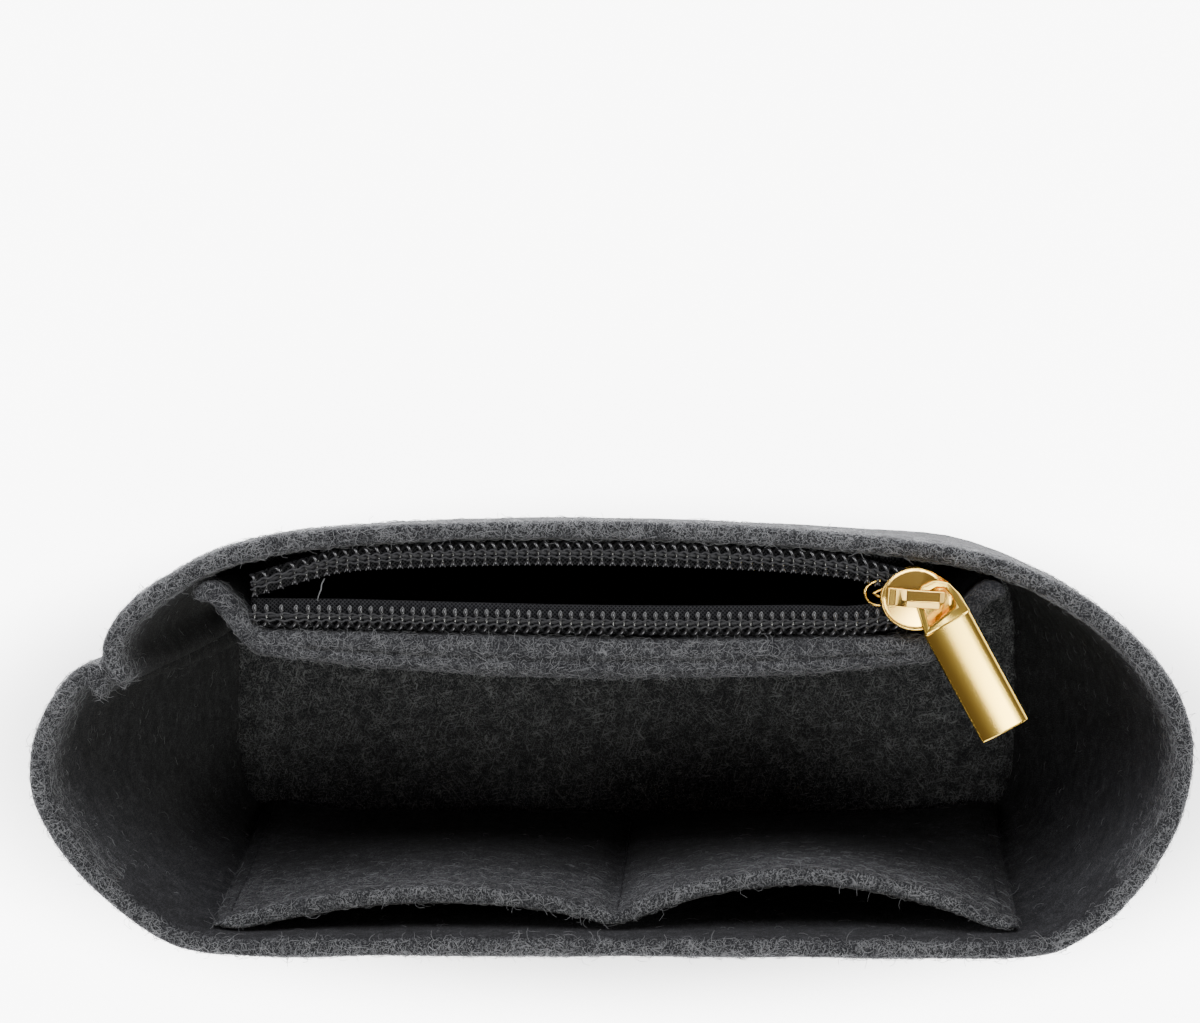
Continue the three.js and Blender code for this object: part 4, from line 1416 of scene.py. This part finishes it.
# %% Ring
RING_OUTER = [(3.6, -4.2), (3.6, -0.6), (3.5, 3.05), (0.6, 2.9)]
RING_OUTER += [(-1.6, 2.25), (-2.75, 0.8), (-2.9, -1.4), (-0.4, -3.4)]
RING_INNER = [(2.5, -3.05), (2.1, -0.7), (1.7, 1.65), (0.3, 1.65)]
RING_INNER += [(-1.1, 1.45), (-1.75, 0.5), (-1.75, -1.0), (-0.5, -2.35)]
RING_LOW = 86.35
RING_HIGH = 87.8
RING_RISE = 0.6 * MM
RISE_FROM = 0.2 * MM
RISE_LENGTH = 1.5 * MM

graph = bmesh.new()
loops = []
for outline in (RING_OUTER, RING_INNER):
    loops += ring_edges(graph, [(u, v, RING_LOW) for u, v in outline])
flat_ring = bmesh.ops.bridge_loops(graph, edges=loops)["faces"]
for vertex in pushed_out(graph, flat_ring, (0, 0, (RING_HIGH - RING_LOW) * MM)):
    vertex.co.z += RING_RISE * smooth_step((vertex.co.x - RISE_FROM) / RISE_LENGTH)
place_pull(graph)
gold_piece("pull_ring", graph, "pull", 0.38 * MM, 30)

# %% Bar of the pull
BAR_SECTION = [
    (-4.3, -2.2),
    (-4.3, -0.78),
    (-3.75, -0.50),
    (-3.2, -0.34),
    (-2.7, -0.235),
    (-2.2, -0.15),
    (-1.8, -0.095),
    (-1.4, -0.052),
    (-0.8, -0.014),
    (-0.2, 0.0),
    (1.0, 0.0),
    (2.0, -0.04),
    (2.6, -0.14),
    (3.0, -0.36),
    (3.0, -2.2),
]
BAR_FROM = 3.05
BAR_LENGTH = 17.5
BAR_CORNER = 0.35 * MM

graph = bmesh.new()
corners = [graph.verts.new(Vector((BAR_FROM, v, PULL_TOP + z)) * MM) for v, z in BAR_SECTION]
bar_end = graph.faces.new(corners)
pushed_out(graph, [bar_end], (BAR_LENGTH * MM, 0, 0))
place_pull(graph)
gold_piece("pull_bar", graph, "pull", BAR_CORNER, 20)

# %% [markdown]
# ## Seams
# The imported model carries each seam's thread as a plain tube just clear of the felt. On the real
# tray it is a row of short stitches that sink into the felt, in thread of the felt's own colour, so
# a seam shows as a pinched line more than as stitches. Each stitch here starts and ends under the
# felt's surface, which is found by the nearest point on it.

# %% The felt's surface
surface_graph = bmesh.new()
for piece in (wall, base, slip_panel, zip_panel, *hanging):
    surface_graph.from_mesh(piece.data)
surface = BVHTree.FromBMesh(surface_graph)
surface_graph.free()
print("seams lie on", len(hanging) + 4, "pieces")

# %% Stitches
STITCH_PITCH = 3.4 * MM
STITCH_SHARE = 0.8
STITCH_SINK = 0.25 * MM
STITCH_RISE = 0.10 * MM
FOOT_RISE = -0.10 * MM
SEAM_THREAD = 0.17 * MM
SEAM_STEPS = 6
TRAY_SHAPE = 2.4
SEAM_AXES = {
    "wall_seam_thread": 2,
    "slip_left_thread": 2,
    "slip_centre_thread": 2,
    "slip_right_thread": 2,
    "slip_foot_thread": 0,
    "pocket_left_thread": 2,
    "pocket_right_thread": 2,
    "pocket_foot_thread": 0,
    "pocket_hem_thread": 0,
    "tape_back_thread": 0,
    "tape_front_thread": 0,
}


def ring_line(node, steps=90):
    """The middle line of a packed cord that runs round the tray."""
    parts = [[] for _ in range(steps)]
    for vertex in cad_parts[node].data.vertices:
        turn = math.atan2(vertex.co.y * TRAY_SHAPE, vertex.co.x) / (2 * math.pi) % 1
        parts[int(turn * steps) % steps].append(vertex.co.copy())
    middles = [sum(part, Vector()) / len(part) for part in parts if part]
    return middles + [middles[0]]


def stitched(name, line, rise=STITCH_RISE):
    """A row of stitches on the felt along a line, each with both its ends under the surface."""
    length = sum((b - a).length for a, b in zip(line, line[1:]))
    count = round(length / STITCH_PITCH)
    stitches = []
    for index in range(count):
        points = []
        for step in range(SEAM_STEPS + 1):
            share = (index + STITCH_SHARE * step / SEAM_STEPS) / count
            touch, normal, _, _ = surface.find_nearest(smooth_point(line, share))
            bow = math.sin(math.pi * step / SEAM_STEPS) ** 0.5
            points.append(touch + normal * ((rise + STITCH_SINK) * bow - STITCH_SINK))
        stitches.append(points)
    return threads(name, stitches, SEAM_THREAD, SEWING_THREAD)


for seam_node, axis in SEAM_AXES.items():
    seam = stitched(seam_node.replace("_thread", "_stitches"), middle_line(seam_node, axis))
    fit(seam, "insert", "sewing_thread", seam_node)
base_seam = stitched("base_seam_stitches", ring_line("base_seam_thread"), FOOT_RISE)
fit(base_seam, "insert", "sewing_thread", "base_seam_thread")
print(len(SEAM_AXES) + 1, "seams")

# %% [markdown]
# ## Loose fibres
# Felt's surface is never clean: short curly fibres stand a little off it and catch the light, most
# of all along raw edges. They are too fine to be cut into the mesh, so each one is a short thread
# that leaves the felt and comes back to it. Random numbers with a seed give the same fibres in
# every run, and there are as many as keep a piece under 200,000 triangles.

# %% Loose fibres
FIBRE_RADIUS = 0.026 * MM
FIBRE_LENGTHS = (0.7 * MM, 2.3 * MM)
FIBRE_LIFTS = (0.05 * MM, 0.32 * MM)
FIBRE_COUNTS = {
    "wall_felt": 7000,
    "slip_pocket_felt": 2200,
    "zip_pocket_felt": 2200,
    "base_felt": 250,
}
FIBRE_STEPS = 4
FIBRE_ROOT = 0.03 * MM
FIBRE_LOWEST = 0.05 * MM


def loose_fibre(polygon, mesh):
    """Four points of a curl that starts on a face, runs along it and comes back down."""
    corners = [mesh.vertices[index].co for index in polygon.vertices]
    start = corners[0].lerp(corners[2], random.random()).lerp(corners[1], random.random() * 0.5)
    normal = polygon.normal
    heading = normal.orthogonal().normalized()
    heading.rotate(Matrix.Rotation(random.uniform(0, 2 * math.pi), 3, normal))
    sideways = normal.cross(heading)
    length = random.uniform(*FIBRE_LENGTHS)
    lift = random.uniform(*FIBRE_LIFTS)
    curl = random.uniform(-0.5, 0.5) * length
    points = []
    for step in range(FIBRE_STEPS):
        share = step / (FIBRE_STEPS - 1)
        bow = math.sin(math.pi * share)
        height = lift * bow - FIBRE_ROOT
        point = start + heading * length * share + sideways * curl * bow + normal * height
        point.z = max(point.z, FIBRE_LOWEST)
        points.append(point)
    return points


for felt_name, count in FIBRE_COUNTS.items():
    mesh = bpy.data.objects[felt_name].data
    nap_and_light = mesh.attributes["nap_and_light"].data
    faces = [polygon for polygon in mesh.polygons if len(polygon.vertices) >= 4]
    weights = [face.area * nap_and_light[face.vertices[0]].value ** 3 for face in faces]
    fibres = [loose_fibre(face, mesh) for face in random.choices(faces, weights, k=count)]
    fuzz = threads(felt_name.replace("felt", "fuzz"), fibres, FIBRE_RADIUS, FUZZ, 0)
    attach(fuzz, "insert")
    print(fuzz.name, len(fuzz.data.polygons), "faces")

# %% [markdown]
# ## Loose thread end
# One end of thread hangs in the zipped pocket's mouth, where its seam was cut off.

# %% Loose thread end
LOOSE_END = [(-41.4, 19.3, 82.3), (-41.2, 20.0, 82.9), (-40.8, 20.9, 83.4), (-40.7, 21.7, 83.5)]
LOOSE_END += [(-40.3, 22.5, 83.2)]
LOOSE_THREAD = 0.09 * MM

loose_line = [Vector(place) * MM for place in LOOSE_END]
loose_end = threads("loose_thread_end", [loose_line], LOOSE_THREAD, FUZZ)
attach(loose_end, "insert")
print(loose_end.name, len(loose_end.data.polygons), "faces")

dressed_low, dressed_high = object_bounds()
sizes = {"cad": [list(cad_low), list(cad_high)], "visual": [list(dressed_low), list(dressed_high)]}
print("visual:", [round(v / MM, 1) for v in dressed_high - dressed_low], "mm")
